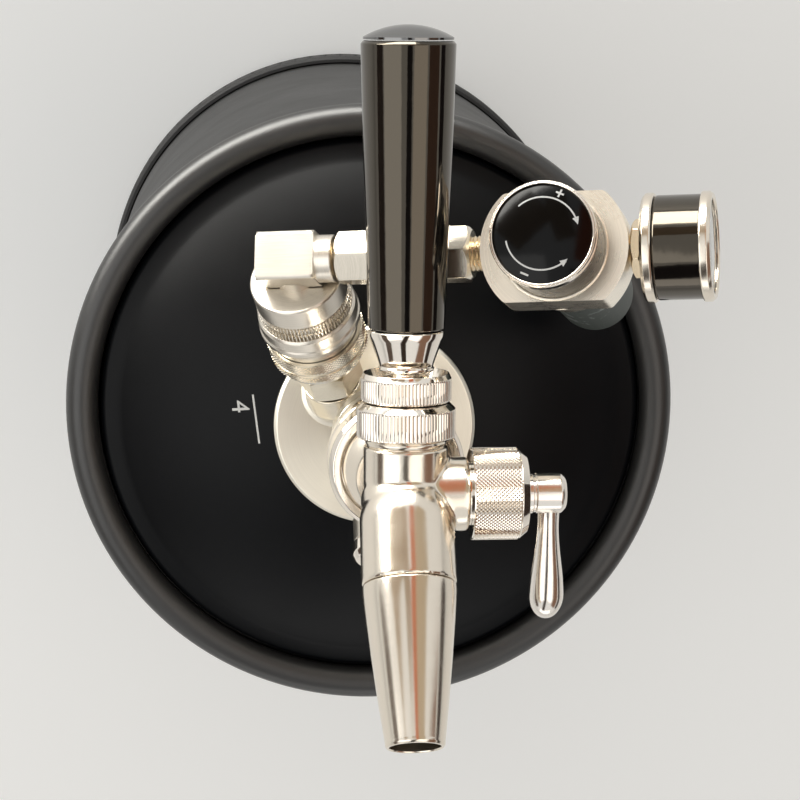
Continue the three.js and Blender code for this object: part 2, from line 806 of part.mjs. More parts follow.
function leverPieces(group) {
  const pivot = at(0, 0, tapReach, handleTurn).multiply(at(0, 0, pivotRise));
  const lever = ball(ballRadius, pivot)
    .add(rod(leverStem, pivotRise, leverStemTop, smallSides, handleFrame))
    .add(rod(leverTail, pivotRise - leverTailEnd, pivotRise, smallSides, handleFrame));
  add(group, 'tap_lever', lever, 'chrome');

  const hole = leverStem + fit;
  add(group, 'handle_ferrule', turned([
    [hole, ferruleBottom],
    [ferruleWaist, ferruleBottom],
    [ferruleWaist, ferruleBottom + ferruleFoot],
    [ferruleRadius, ferruleTop - ferruleFoot],
    [ferruleRadius, ferruleTop],
    [hole, ferruleTop],
  ], tapSides, handleFrame), 'chrome');

  const gripBottom = ferruleTop + fit;
  add(group, 'handle_grip', turned([
    [0, leverStemTop + fit],
    [hole, leverStemTop + fit],
    [hole, gripBottom],
    [gripBottomRadius, gripBottom],
    [gripTopRadius, gripTop - gripRound],
    [gripTopRadius - gripRound, gripTop],
    [0, gripTop],
  ], tapSides, handleFrame), 'gloss');

  const capBottom = gripTop + fit;
  const capSide = capBottom + handleCapEdge;
  add(group, 'handle_cap', turned([
    [0, capBottom],
    [handleCapRadius, capBottom],
    [handleCapRadius, capSide],
    ...crown(capSide + handleCapRise, handleCapRadius, capSide, 0, arcSteps).reverse().slice(1),
  ], tapSides, handleFrame), 'chrome');
}

// The shuttle closes the bore in front and is pulled back by the lever's tail
function shuttlePieces(group) {
  const headStart = tapReach + shuttleHeadStart;
  const headEnd = headStart + shuttleHeadLength;
  const ringStart = headStart + (shuttleHeadLength - sealWidth) / 2;
  const back = headStart - shuttleLength;
  const shuttle = turned([
    [0, back],
    [shuttleRadius, back],
    [shuttleRadius, headStart],
    [shuttleHead, headStart],
    [shuttleHead, ringStart - fit],
    [shuttleNeck, ringStart - fit],
    [shuttleNeck, ringStart + sealWidth + fit],
    [shuttleHead, ringStart + sealWidth + fit],
    [shuttleHead, headEnd],
    [0, headEnd],
  ], smallSides);
  const slot = box(2 * waterBore, shuttleRadius, shuttleSlot,
    at(0, shuttleSlotFloor + shuttleRadius / 2, tapReach));
  add(group, 'faucet_shuttle', shuttle.subtract(slot), 'steel');
  add(group, 'shuttle_seal', tube(shuttleHead, shuttleNeck + fit, ringStart,
    ringStart + sealWidth, smallSides), 'rubber');
}

function flowPieces(group) {
  const collarStart = bossEnd + fit;
  const shoulder = spigotEnd + fit;
  add(group, 'flow_collar', turned([
    [spigotRadius + fit, collarStart],
    [flowCollarRadius, collarStart],
    [flowCollarRadius, flowCollarEnd - flowCollarChamfer],
    [flowCollarRadius - flowCollarChamfer, flowCollarEnd],
    [flowHubRadius + fit, flowCollarEnd],
    [flowHubRadius + fit, shoulder],
    [spigotRadius + fit, shoulder],
  ], tapSides, flowFrame), 'chrome');

  const stem = turned([
    [0, stemStart],
    [stemBore - fit, stemStart],
    [stemBore - fit, stemShoulder],
    [flowHubRadius, stemShoulder],
    ...arc(flowHubRadius - flowHubRound, flowHubEnd - flowHubRound, flowHubRound, 0, 90, edgeSteps),
    [0, flowHubEnd],
  ], smallSides, flowFrame);
  const leverFrame = at(flowLeverAt, 0, tapReach, downY);
  const hole = rod(flowLeverSpigot + fit, flowHubRadius - flowLeverSpigotDepth, flowHubRadius
    + overrun, smallSides, leverFrame);
  add(group, 'flow_stem', stem.subtract(hole), 'chrome');

  const leverStart = flowHubRadius + fit;
  const leverLength = flowLeverEnd - leverStart;
  const spigotFrom = flowHubRadius - flowLeverSpigotDepth + fit;
  const side = flowLeverShares.map((share, i) => [
    flowLeverWaist + (flowLeverRadius - flowLeverWaist) * flowLeverWidthShares[i],
    leverStart + leverLength * share,
  ]);
  const [, lastHeight] = side.at(-1);
  const tipRound = (flowLeverEnd + lastHeight) / 2;
  add(group, 'flow_lever', turned([
    [0, spigotFrom],
    [flowLeverSpigot, spigotFrom],
    [flowLeverSpigot, leverStart],
    ...side,
    [flowLeverWaist, tipRound],
    [0, flowLeverEnd],
  ], smallSides, leverFrame), 'chrome');

  add(group, 'flow_oring', tube(stemBore + flowRingWidth - fit, stemBore, flowRingAt + fit,
    flowRingAt + fit + flowRingWidth, smallSides, flowFrame), 'rubber');
}

// Gas post with its valve, along the gas port's axis
function gasPostPieces(group) {
  const post = turned([
    [gasShelfBore, -gasTailDepth],
    [gasTail, -gasTailDepth],
    [gasTail, gasStubTop + fit],
    [gasBarrel, gasStubTop + fit],
    [gasBarrel, gasBarrelTop],
    [gasNipple, gasBarrelTop],
    [gasNipple, gasNippleTop],
    [gasLipBore, gasNippleTop],
    [gasLipBore, gasNippleTop - gasLip],
    [gasValveBore, gasNippleTop - gasLip],
    [gasValveBore, gasShelf],
    [gasShelfBore, gasShelf],
  ], smallSides);
  const hex = hexBar(gasHex, gasStubTop + fit, gasHexTop).subtract(rod(gasTail, 0, gasHexTop
    + overrun, smallSides));
  add(group, 'gas_post', post.add(hex), 'steel');

  const headTop = gasNippleTop - gasLip - poppetDrop;
  const headBottom = headTop - poppetHeadLength;
  add(group, 'gas_poppet', turned([
    [0, headBottom],
    [poppetHead, headBottom],
    [poppetHead, headTop],
    [poppetPin, headTop],
    [poppetPin, gasNippleTop + fit],
    [0, gasNippleTop + fit],
  ], smallSides), 'steel');
  const springOuter = gasValveBore - fit;
  add(group, 'gas_post_spring', tube(springOuter, springOuter - springWall, gasShelf + fit,
    headBottom - poppetTravel - fit, smallSides), 'steel');
}

// Quick disconnect
function disconnectPieces(group) {
  const pinEnd = gasNippleTop + 2 * fit;
  const body = turned([
    [bodyCavity, gasBarrelTop + fit],
    [bodyTube, gasBarrelTop + fit],
    [bodyTube, flangeBottom],
    [flangeRadius, flangeBottom],
    [flangeRadius, flangeTop],
    [flangeUpperRadius, flangeTop],
    [flangeUpperRadius, flangeUpperTop],
    [toothRadius, flangeUpperTop],
    [toothRadius, toothMiddle],
    [toothRadius - toothStep, toothMiddle],
    [toothRadius - toothStep, toothTop],
    [bodySpigot, toothTop],
    [bodySpigot, bodySpigotTop],
    [0, bodySpigotTop],
    [0, pinEnd],
    [bodyPin, pinEnd],
    [bodyPin, bodyCavityTop],
    [bodyCavity, bodyCavityTop],
  ], tapSides);
  const passage = rod(bodyPassage, bodyCavityTop - overrun, bodySpigotTop + overrun, smallSides,
    at(bodyPassageOffset, 0, 0));
  add(group, 'disconnect_body', body.subtract(passage), 'satin');

  const collarBore = bodyTube + fit;
  add(group, 'release_collar', turned([
    [collarBore, collarBottom],
    [collarRadius, collarBottom],
    [collarRadius, collarGrooveBottom],
    [collarGroove, collarGrooveBottom],
    [collarGroove, collarGrooveTop],
    [collarRadius, collarGrooveTop],
    [collarRadius, collarTop],
    [collarBore, collarTop],
  ], tapSides), 'satin');

  const capBottom = toothTop + fit;
  const roof = discCapTop - discCapRoof;
  add(group, 'disconnect_cap', turned([
    [bodySpigot + fit, capBottom],
    [discCapRadius, capBottom],
    [discCapRadius, discCapTop - discCapRound],
    [discCapRadius - discCapRound, discCapTop],
    [elbowStem + fit, discCapTop],
    [elbowStem + fit, roof],
    [bodySpigot + fit, roof],
  ], tapSides), 'satin');
}

const line = new THREE.Group();
line.position.set(0, 0, lineRise);
line.rotation.z = lineTurn * degrees;
gas.add(line);

function elbowPieces(group) {
  const flangeBottomAt = bodySpigotTop + fit - lineRise;
  const flangeTopAt = discCapTop - discCapRoof - fit - lineRise;
  const blockFrame = at(0, 0, 0, new THREE.Matrix4().makeRotationX(blockTurn * degrees));
  const side = blockSize - 2 * blockRound;
  let block = box(2 * blockHalf, blockSize, side, blockFrame);
  block = block.add(box(2 * blockHalf, side, blockSize, blockFrame));
  const corner = rod(Math.SQRT1_2 * blockSize + side * (1 - Math.SQRT1_2), -blockHalf, blockHalf,
    tapSides, alongX);
  block = box(2 * blockHalf, blockSize, blockSize, blockFrame).intersect(corner).add(block);
  const blockFloor = discCapTop + fit - lineRise;
  block = block.subtract(rod(discCapRadius, blockFloor - blockSize, blockFloor, tapSides));
  let elbow = block
    .add(rod(elbowStem, flangeBottomAt, 0, smallSides))
    .add(rod(elbowFlange, flangeBottomAt, flangeTopAt, smallSides))
    .add(rod(elbowNeck, 0, elbowNeckEnd, tapSides, alongX))
    .add(rod(elbowThread, 0, elbowThreadEnd, smallSides, alongX));
  elbow = elbow
    .subtract(rod(lineBore, flangeBottomAt - overrun, 0, smallSides))
    .subtract(rod(lineBore, -lineBore, elbowThreadEnd + overrun, smallSides, alongX));
  add(group, 'gas_elbow', elbow, 'satin');

  const nut = hexBar(flareHex, flareStart, flareEnd, alongX)
    .subtract(rod(elbowThread + fit, flareStart - overrun, flareEnd - flareLip, smallSides,
      alongX))
    .subtract(rod(couplerTail + fit, 0, flareEnd + overrun, smallSides, alongX));
  add(group, 'flare_nut', nut, 'satin');
}

function couplerPieces(group) {
  const hexStart = flareEnd + fit;
  const headEnd = flareEnd - flareLip - fit;
  const core = turned([
    [lineBore, couplerTailStart],
    [couplerHead, couplerTailStart],
    [couplerHead, headEnd],
    [couplerTail, headEnd],
    [couplerTail, hexStart + overrun],
    [couplerThread, hexStart + overrun],
    [couplerThread, couplerEnd],
    [lineBore, couplerEnd],
  ], smallSides, alongX);
  const hex = hexBar(couplerHex, hexStart, couplerHexEnd, alongX)
    .subtract(rod(couplerTail, 0, couplerEnd, smallSides, alongX));
  add(group, 'line_coupler', core.add(hex), 'satin');
}

const regulator = new THREE.Group();
regulator.position.set(regulatorAt, 0, 0);
regulator.rotation.x = regulatorTurn * degrees;
line.add(regulator);

function regulatorPieces(group) {
  const half = regulatorHalf;
  const rim = regulatorRadius - regulatorChamfer;
  let body = turned([
    [0, -half],
    [rim, -half],
    [regulatorRadius, regulatorChamfer - half],
    [regulatorRadius, half - regulatorChamfer],
    [rim, half],
    [0, half],
  ], tapSides);
  body = body.intersect(box(4 * regulatorRadius, 2 * regulatorFlat, 4 * half, at(0, 0, 0)));
  body = body
    .add(rod(stepRadius, 0, half + stepHeight, tapSides).intersect(box(4 * regulatorRadius,
      2 * (regulatorFlat - regulatorChamfer), 4 * half, at(0, 0, 0))))
    .add(rod(spigotOuter, 0, spigotTop, smallSides))
    .add(rod(bossBack, 0, bossBackEnd, tapSides, backZ));
  const inletEnd = regulatorAt - couplerEnd;
  const cuts = [
    rod(springCavity, springCavityFloor, spigotTop + overrun, smallSides),
    rod(cartridgeBore, pinSeat, bossBackEnd + overrun, smallSides, backZ),
    rod(cartridgeRadius + fit, cartridgeShoulder + fit, bossBackEnd + overrun, tapSides, backZ),
    rod(lineBore, 0, pinSeat + overrun, smallSides, backZ),
    rod(couplerThread + fit, inletEnd - fit, regulatorRadius + overrun, smallSides,
      at(0, 0, 0, new THREE.Matrix4().makeRotationY(-90 * degrees))),
    rod(gaugeStem + fit, regulatorRadius - portDepth - fit, regulatorRadius + overrun, smallSides,
      alongX),
    rod(sidePassage, -inletEnd - overrun, regulatorRadius - portDepth + overrun, smallSides,
      alongX),
  ];
  for (const cut of cuts) body = body.subtract(cut);
  add(group, 'regulator_body', body, 'satin');

  const pistonBottom = springCavityFloor + fit;
  const pistonTop = pistonBottom + pistonThickness;
  add(group, 'regulator_piston', rod(springCavity - fit, pistonBottom, pistonTop, smallSides),
    'steel');
  const springOuter = springCavity - fit;
  add(group, 'regulator_spring', tube(springOuter, springOuter - springWall, pistonTop + fit,
    springTop, smallSides), 'steel');
  const pin = turned([
    [0, pinSeat + fit],
    [cartridgeBore - fit, pinSeat + fit],
    [cartridgeBore - fit, pinSeat + fit + pinThickness],
    [pinTip, pinSeat + fit + pinThickness],
    [0, pinSeat + fit + pinThickness + pinTipLength],
  ], smallSides, backZ);
  add(group, 'piercing_pin', pin, 'steel');

  const wallStart = cartridgeWall - cartridgeShoulder;
  const shoulderShares = [[0.16, 0.26], [0.4, 0.68], [0.7, 0.92], [1, 1]];
  const domeShares = [[1, 0], [0.92, 0.4], [0.7, 0.72], [0.38, 0.93]];
  add(group, 'cartridge', turned([
    [0, cartridgeNeckTop],
    [cartridgeNeck, cartridgeNeckTop],
    [cartridgeNeck, cartridgeShoulder + fit],
    ...shoulderShares.map(([along, out]) => [
      cartridgeNeck + (cartridgeRadius - cartridgeNeck) * out,
      cartridgeShoulder + fit + (wallStart - fit) * along,
    ]),
    ...domeShares.map(([out, along]) => [
      cartridgeRadius * out,
      cartridgeEnd - cartridgeDome * (1 - along),
    ]),
    [0, cartridgeEnd],
  ], tapSides, backZ), 'green');
}

function knobPieces(group) {
  const neckBottomAt = regulatorHalf + stepHeight + fit;
  const hollow = spigotOuter + fit;
  add(group, 'knob_grip', turned([
    [0, springTop + fit],
    [knobScrew, springTop + fit],
    [knobScrew, spigotTop + fit],
    [hollow, spigotTop + fit],
    [hollow, neckBottomAt],
    [knobNeck, neckBottomAt],
    [knobNeck, knobNeckTop],
    [knobRadius - knobSlope, knobNeckTop],
    [knobRadius, knobNeckTop + knobSlope],
    [knobRadius, knobTop],
    [0, knobTop],
  ], tapSides), 'gloss');
  const ringBottom = knobTop + fit;
  const ringBore = knobRadius - ringWall;
  add(group, 'knob_ring', turned([
    [ringBore, ringBottom],
    [knobRadius, ringBottom],
    [knobRadius, ringBottom + ringHeight - ringWall / 2],
    [knobRadius - ringWall / 2, ringBottom + ringHeight],
    [ringBore, ringBottom + ringHeight],
  ], tapSides), 'chrome');
  const faceRadius = ringBore - fit;
  add(group, 'knob_face', turned([
    [0, ringBottom],
    [faceRadius, ringBottom],
    [faceRadius, ringBottom + faceEdge],
    ...crown(ringBottom + faceRise, faceRadius, ringBottom + faceEdge, 0, arcSteps).reverse().slice(1),
  ], tapSides), 'gloss');
}

function gaugePieces(group) {
  const hexStart = regulatorRadius + fit;
  const stem = rod(gaugeStem, regulatorRadius - portDepth, gaugeHexEnd, smallSides, alongX)
    .add(hexBar(gaugeHex, hexStart, gaugeHexEnd, alongX))
    .add(rod(gaugeSpigot, hexStart, gaugeFlangeEnd, smallSides, alongX))
    .subtract(rod(sidePassage, 0, gaugeEnd, smallSides, alongX));
  add(group, 'gauge_stem', stem, 'steel');

  const flangeStart = gaugeHexEnd + fit;
  const bevel = gaugeRadius - gaugeCaseRadius;
  add(group, 'gauge_flange', turned([
    [gaugeSpigot + fit, flangeStart],
    [gaugeRadius - bevel, flangeStart],
    [gaugeRadius, flangeStart + bevel],
    [gaugeRadius, gaugeFlangeEnd],
    [gaugeSpigot + fit, gaugeFlangeEnd],
  ], tapSides, alongX), 'chrome');

  const caseStart = gaugeFlangeEnd + fit;
  const caseBore = gaugeCaseRadius - gaugeCaseWall;
  const dialBack = gaugeCaseEnd - dialSet;
  const dialFront = dialBack + dialThickness;
  add(group, 'gauge_case', turned([
    [0, caseStart],
    [gaugeCaseRadius, caseStart],
    [gaugeCaseRadius, gaugeCaseEnd],
    [caseBore, gaugeCaseEnd],
    [caseBore, caseStart + gaugeCaseWall],
    [gaugePost, caseStart + gaugeCaseWall],
    [gaugePost, dialBack - fit],
    [0, dialBack - fit],
  ], tapSides, alongX), 'gloss');

  add(group, 'gauge_dial', rod(caseBore - fit, dialBack, dialFront, tapSides, alongX), 'white');

  const needleAt = dialFront + fit;
  const reach = needleLength + needleTail;
  const needle = rod(needleHub, needleAt, needleAt + needleThickness, smallSides, alongX)
    .add(box(needleThickness, needleWidth, reach, at(needleAt + needleThickness / 2, 0,
      needleLength - reach / 2)));
  add(group, 'gauge_needle', needle, 'red');

  const bezelBack = gaugeCaseEnd + fit;
  const lensFront = gaugeEnd - fit - needleThickness;
  const lensBack = lensFront - lensThickness;
  const lensRadius = gaugeCaseRadius - fit;
  add(group, 'gauge_lens', rod(lensRadius, lensBack, lensFront, tapSides, alongX), 'glass');
  add(group, 'gauge_bezel', turned([
    [gaugeCaseRadius, bezelBack],
    [gaugeRadius, bezelBack],
    [gaugeRadius, gaugeEnd - bevel],
    [gaugeRadius - bevel, gaugeEnd],
    [gaugeRadius - bezelLip, gaugeEnd],
    [gaugeRadius - bezelLip, lensFront + fit],
    [gaugeCaseRadius, lensFront + fit],
  ], tapSides, alongX), 'chrome');
}

function reliefPieces(group) {
  const roofBottom = reliefTop - reliefRoof;
  const barrel = turned([
    [reliefDrill, -reliefTailDepth],
    [reliefTail, -reliefTailDepth],
    [reliefTail, reliefStubTop + fit],
    [reliefBarrel, reliefStubTop + fit],
    [reliefBarrel, reliefTop],
    [reliefStem + fit, reliefTop],
    [reliefStem + fit, roofBottom],
    [reliefBore, roofBottom],
    [reliefBore, reliefFloor],
    [reliefDrill, reliefFloor],
  ], smallSides);
  const hex = hexBar(reliefHex, reliefStubTop + fit, reliefHexTop).subtract(rod(reliefTail, 0,
    reliefHexTop + overrun, smallSides));
  add(group, 'relief_body', barrel.add(hex), 'satin');

  const sealBottom = reliefFloor + fit;
  const sealTop = sealBottom + reliefSealThickness;
  const headBottom = reliefTop + fit;
  const headTop = headBottom + reliefHeadHeight;
  add(group, 'relief_stem', turned([
    [0, sealBottom],
    [reliefSeal, sealBottom],
    [reliefSeal, sealTop],
    [reliefStem, sealTop],
    [reliefStem, headBottom],
    [reliefHead, headBottom],
    ...arc(reliefHead - reliefHeadRound, headTop - reliefHeadRound, reliefHeadRound, 0, 90, edgeSteps),
    [0, headTop],
  ], smallSides), 'satin');
  const springOuter = reliefBore - fit;
  add(group, 'relief_spring', tube(springOuter, springOuter - springWall, sealTop + reliefTravel
    + fit, roofBottom - fit, smallSides), 'steel');
}

kegPieces(dispenser);
headPieces(dispenser);
shankPieces(tap);
faucetPieces(tap);
collarPieces(tap);
leverPieces(tap);
shuttlePieces(tap);
flowPieces(tap);
gasPostPieces(gas);
disconnectPieces(gas);
elbowPieces(line);
couplerPieces(line);
regulatorPieces(regulator);
knobPieces(regulator);
gaugePieces(regulator);
reliefPieces(relief);

export default dispenser;
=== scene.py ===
# Mini keg beer dispenser: camera, light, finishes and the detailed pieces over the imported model.
# Lengths are in millimetres in the code and become metres when a mesh is made.
import math

import bmesh
import bpy
from mathutils import Matrix, Vector


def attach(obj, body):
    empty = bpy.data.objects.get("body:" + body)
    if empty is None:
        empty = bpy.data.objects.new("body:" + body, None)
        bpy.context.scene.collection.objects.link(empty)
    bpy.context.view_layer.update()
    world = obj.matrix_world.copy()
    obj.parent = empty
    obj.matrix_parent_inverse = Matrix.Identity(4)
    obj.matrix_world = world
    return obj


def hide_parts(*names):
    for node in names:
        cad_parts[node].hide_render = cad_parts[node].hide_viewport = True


millimetre = 0.001
fullTurn = 2 * math.pi
quarterTurn = math.pi / 2


def hung(name, data, matrix=None):
    # an object in the scene
    made = bpy.data.objects.new(name, data)
    bpy.context.scene.collection.objects.link(made)
    if matrix is not None:
        made.matrix_world = matrix
    return made


# Camera

cameraSettings = {
    "lens": 116.19,
    "sensor": 36,
    "lean": 11.96,  # degrees from straight down
    "turn": 15.63,
    "roll": -0.1,
    "aim": (0, 0, 240),  # centre of the rim
    "distance": 772.5,
    "sideways": 8.916,
    "upwards": 1.885,
    "farthest": 20,  # metres
}


def addCamera(settings):
    lean, turn, roll = (math.radians(settings[key]) for key in ("lean", "turn", "roll"))
    away = Vector((-math.sin(lean) * math.sin(turn), math.sin(lean) * math.cos(turn), math.cos(lean)))
    up = (Vector((0, 1, 0)) - away * away.y).normalized()
    right = up.cross(away)
    sideAxis = right * math.cos(roll) + up * math.sin(roll)
    upAxis = up * math.cos(roll) - right * math.sin(roll)
    spot = Vector(settings["aim"]) + away * settings["distance"]
    spot += sideAxis * settings["sideways"] + upAxis * settings["upwards"]
    data = bpy.data.cameras.new("camera")
    data.lens = settings["lens"]
    data.sensor_width = settings["sensor"]
    data.clip_end = settings["farthest"]
    camera = hung("camera", data, Matrix((sideAxis, upAxis, away)).transposed().to_4x4())
    camera.matrix_world.translation = spot * millimetre
    bpy.context.scene.camera = camera


addCamera(cameraSettings)
bpy.context.scene.view_settings.view_transform = "Standard"
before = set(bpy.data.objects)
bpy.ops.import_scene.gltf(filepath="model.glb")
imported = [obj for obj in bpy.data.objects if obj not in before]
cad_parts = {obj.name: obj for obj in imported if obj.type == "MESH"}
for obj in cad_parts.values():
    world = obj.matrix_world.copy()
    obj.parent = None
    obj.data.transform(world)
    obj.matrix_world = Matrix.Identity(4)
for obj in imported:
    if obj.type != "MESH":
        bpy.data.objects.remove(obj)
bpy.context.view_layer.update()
print("camera and frame ready")


# Shader nodes

class Signal:
    # a shader value that works in ordinary arithmetic
    def __init__(self, nodes, socket):
        self.nodes = nodes
        self.socket = socket

    def math(self, operation, first, second):
        return self.nodes.node("ShaderNodeMath", {"operation": operation}, {0: first, 1: second})

    def __add__(self, other):
        return self.math("ADD", self, other)

    def __radd__(self, other):
        return self.math("ADD", other, self)

    def __sub__(self, other):
        return self.math("SUBTRACT", self, other)

    def __rsub__(self, other):
        return self.math("SUBTRACT", other, self)

    def __mul__(self, other):
        return self.math("MULTIPLY", self, other)

    def __rmul__(self, other):
        return self.math("MULTIPLY", other, self)

    def limited(self, low, high):
        # 0 at the low value, 1 at the high one
        return self.nodes.node("ShaderNodeMapRange", {"clamp": True}, {0: self, 1: low, 2: high, 3: 0.0, 4: 1.0})


class Nodes:
    # one node tree, with one way to add a node
    def __init__(self, tree):
        self.tree = tree

    def node(self, kind, settings=None, values=None, output=0):
        made = self.tree.nodes.new(kind)
        for key, value in (settings or {}).items():
            if key == "stops":
                self.setStops(made.color_ramp, value)
            else:
                setattr(made, key, value)
        for key, value in (values or {}).items():
            self.feed(made.inputs[key], value)
        return Signal(self, made.outputs[output])

    def feed(self, socket, value):
        if isinstance(value, Signal):
            self.tree.links.new(value.socket, socket)
        else:
            socket.default_value = value

    def setStops(self, ramp, stops):
        while len(ramp.elements) < len(stops):
            ramp.elements.new(1)
        for element, (position, colour) in zip(ramp.elements, stops):
            element.position = position
            element.color = (*colour, 1)

    def blend(self, share, first, second):
        return self.node("ShaderNodeMix", {"data_type": "RGBA"}, {0: share, 6: first, 7: second}, 2)

    def vector(self, operation, values, output=0):
        return self.node("ShaderNodeVectorMath", {"operation": operation}, values, output)

    def seen(self):
        # 1 for rays from the camera, through glass and off mirrors; 0 for the light that falls on things
        total = self.node("ShaderNodeLightPath", output="Is Camera Ray")
        for kind in ("Glossy", "Transmission"):
            total = total + self.node("ShaderNodeLightPath", output="Is %s Ray" % kind)
        return total.limited(0, 1)


class Finish(Nodes):
    # a material on the principled shader
    def __init__(self, name, colour, roughness, metallic=0.0, constants=None):
        self.material = bpy.data.materials.new(name)
        self.material.use_nodes = True
        super().__init__(self.material.node_tree)
        self.shader = self.tree.nodes["Principled BSDF"]
        self.colour = (*colour, 1)
        self.roughness = roughness
        self.set("Base Color", self.colour)
        self.set("Roughness", roughness)
        self.set("Metallic", metallic)
        for key, value in (constants or {}).items():
            self.set(key, value)

    def set(self, socket, value):
        self.feed(self.shader.inputs[socket], value)

    def spot(self, stretch=(1, 1, 1)):
        # the surface point in millimetres, stretched along the piece's own axes
        point = self.node("ShaderNodeTexCoord", output="Object")
        return self.vector("MULTIPLY", {0: point, 1: tuple(share / millimetre for share in stretch)})

    def around(self, along, across):
        # turning marks round the piece's own axis: long along the turn, fine across it
        point = self.node("ShaderNodeTexCoord", output="Object")
        flat = self.vector("MULTIPLY", {0: point, 1: (1, 1, 0)})
        direction = self.vector("NORMALIZE", {0: flat})
        reach = self.vector("LENGTH", {0: flat}, "Value")
        height = self.node("ShaderNodeSeparateXYZ", None, {0: point}, 2)
        lift = (reach + height * 1.7) * (across / millimetre)
        turned = self.vector("SCALE", {0: direction, "Scale": along})
        stack = self.node("ShaderNodeCombineXYZ", None, {2: lift})
        return self.vector("ADD", {0: turned, 1: stack})

    def noise(self, vector, scale, detail=3, roughness=0.6):
        values = {"Vector": vector, "Scale": scale, "Detail": detail, "Roughness": roughness}
        return self.node("ShaderNodeTexNoise", None, values)

    def shaded(self, factor, lift=0.0):
        return tuple(part * factor + lift for part in self.colour[:3])

    def tint(self, mask, second):
        # the base colour turns to the second colour where the mask is 1
        self.set("Base Color", self.blend(mask, self.colour, (*second, 1)))

    def bump(self, height, depth):
        values = {"Height": height, "Strength": 1.0, "Distance": depth * millimetre}
        self.set("Normal", self.node("ShaderNodeBump", None, values))


# Finishes

def coated(finish, grainScale, depth):
    # a painted or moulded surface with a fine grain and faint handling marks
    grain = finish.noise(finish.spot(), grainScale)
    smudge = finish.noise(finish.spot(), 0.035)
    finish.tint((grain - 0.35).limited(0, 0.5) * 0.6, finish.shaded(1.8, 0.001))
    finish.set("Roughness", finish.roughness - 0.08 + smudge * 0.16 + grain * 0.05)
    finish.bump(grain, depth)


def marked(finish, marks, depth, factor, smudgeScale, offset, markShare):
    # tool marks that darken, roughen and furrow bare metal
    smudge = finish.noise(finish.spot(), smudgeScale)
    finish.tint((marks - 0.4).limited(0, 0.35), finish.shaded(factor))
    finish.set("Roughness", finish.roughness - offset + marks * markShare + smudge * 0.08)
    finish.bump(marks, depth)


def turnedMetal(finish, across, depth, along=0.6, factor=0.85):
    # turning marks round the piece's axis
    marks = finish.noise(finish.around(along, across), 1.0)
    marked(finish, marks, depth, factor, 0.12, 0.05, 0.06)


def brushedMetal(finish, across, depth, stretch):
    # straight brush lines
    marks = finish.noise(finish.spot(stretch), across, 3, 0.65)
    marked(finish, marks, depth, 0.8, 0.15, 0.06, 0.08)


def polishedMetal(finish):
    # mirror plating with a trace of handling
    smudge = finish.noise(finish.spot(), 0.18, 4, 0.65)
    haze = (smudge - 0.45).limited(0, 0.4)
    finish.set("Roughness", finish.roughness + haze * 0.06)
    finish.tint(haze * 0.35, finish.shaded(0.92))


def glossy(finish, dustShare):
    # polished black moulding with a little dust
    dust = finish.noise(finish.spot(), 2.2, 4, 0.7)
    veil = (dust - 0.62).limited(0, 0.2)
    finish.tint(veil * dustShare * 4, (0.12, 0.12, 0.12))
    smudge = finish.noise(finish.spot(), 0.1)
    finish.set("Roughness", finish.roughness + smudge * 0.05 + veil * 0.15)
    finish.bump(finish.noise(finish.spot(), 0.25, 2, 0.5), 0.02)


def lacquered(finish, bare):
    # dark lacquer, worn to bare metal in places
    grain = finish.noise(finish.spot(), 2.4, 4, 0.65)
    patch = finish.noise(finish.spot((1, 1, 0.6)), 0.16, 4)
    worn = ((patch - 0.58).limited(0, 0.1) * (grain - 0.3).limited(0, 0.3)).limited(0.1, 0.8)
    finish.tint(worn, bare)
    finish.set("Roughness", finish.roughness + grain * 0.15 - worn * 0.15)
    finish.set("Metallic", 0.35 + worn * 0.5)
    finish.bump(grain, 0.03)


def mottled(finish):
    # a printed or enamelled surface
    mottle = finish.noise(finish.spot(), 1.5)
    finish.tint((mottle - 0.4).limited(0, 0.4) * 0.3, finish.shaded(0.85))
    finish.set("Roughness", finish.roughness - 0.05 + mottle * 0.1)


def clear(finish):
    film = finish.noise(finish.spot(), 0.3)
    finish.set("Roughness", finish.roughness + (film - 0.5).limited(0, 0.4) * 0.03)


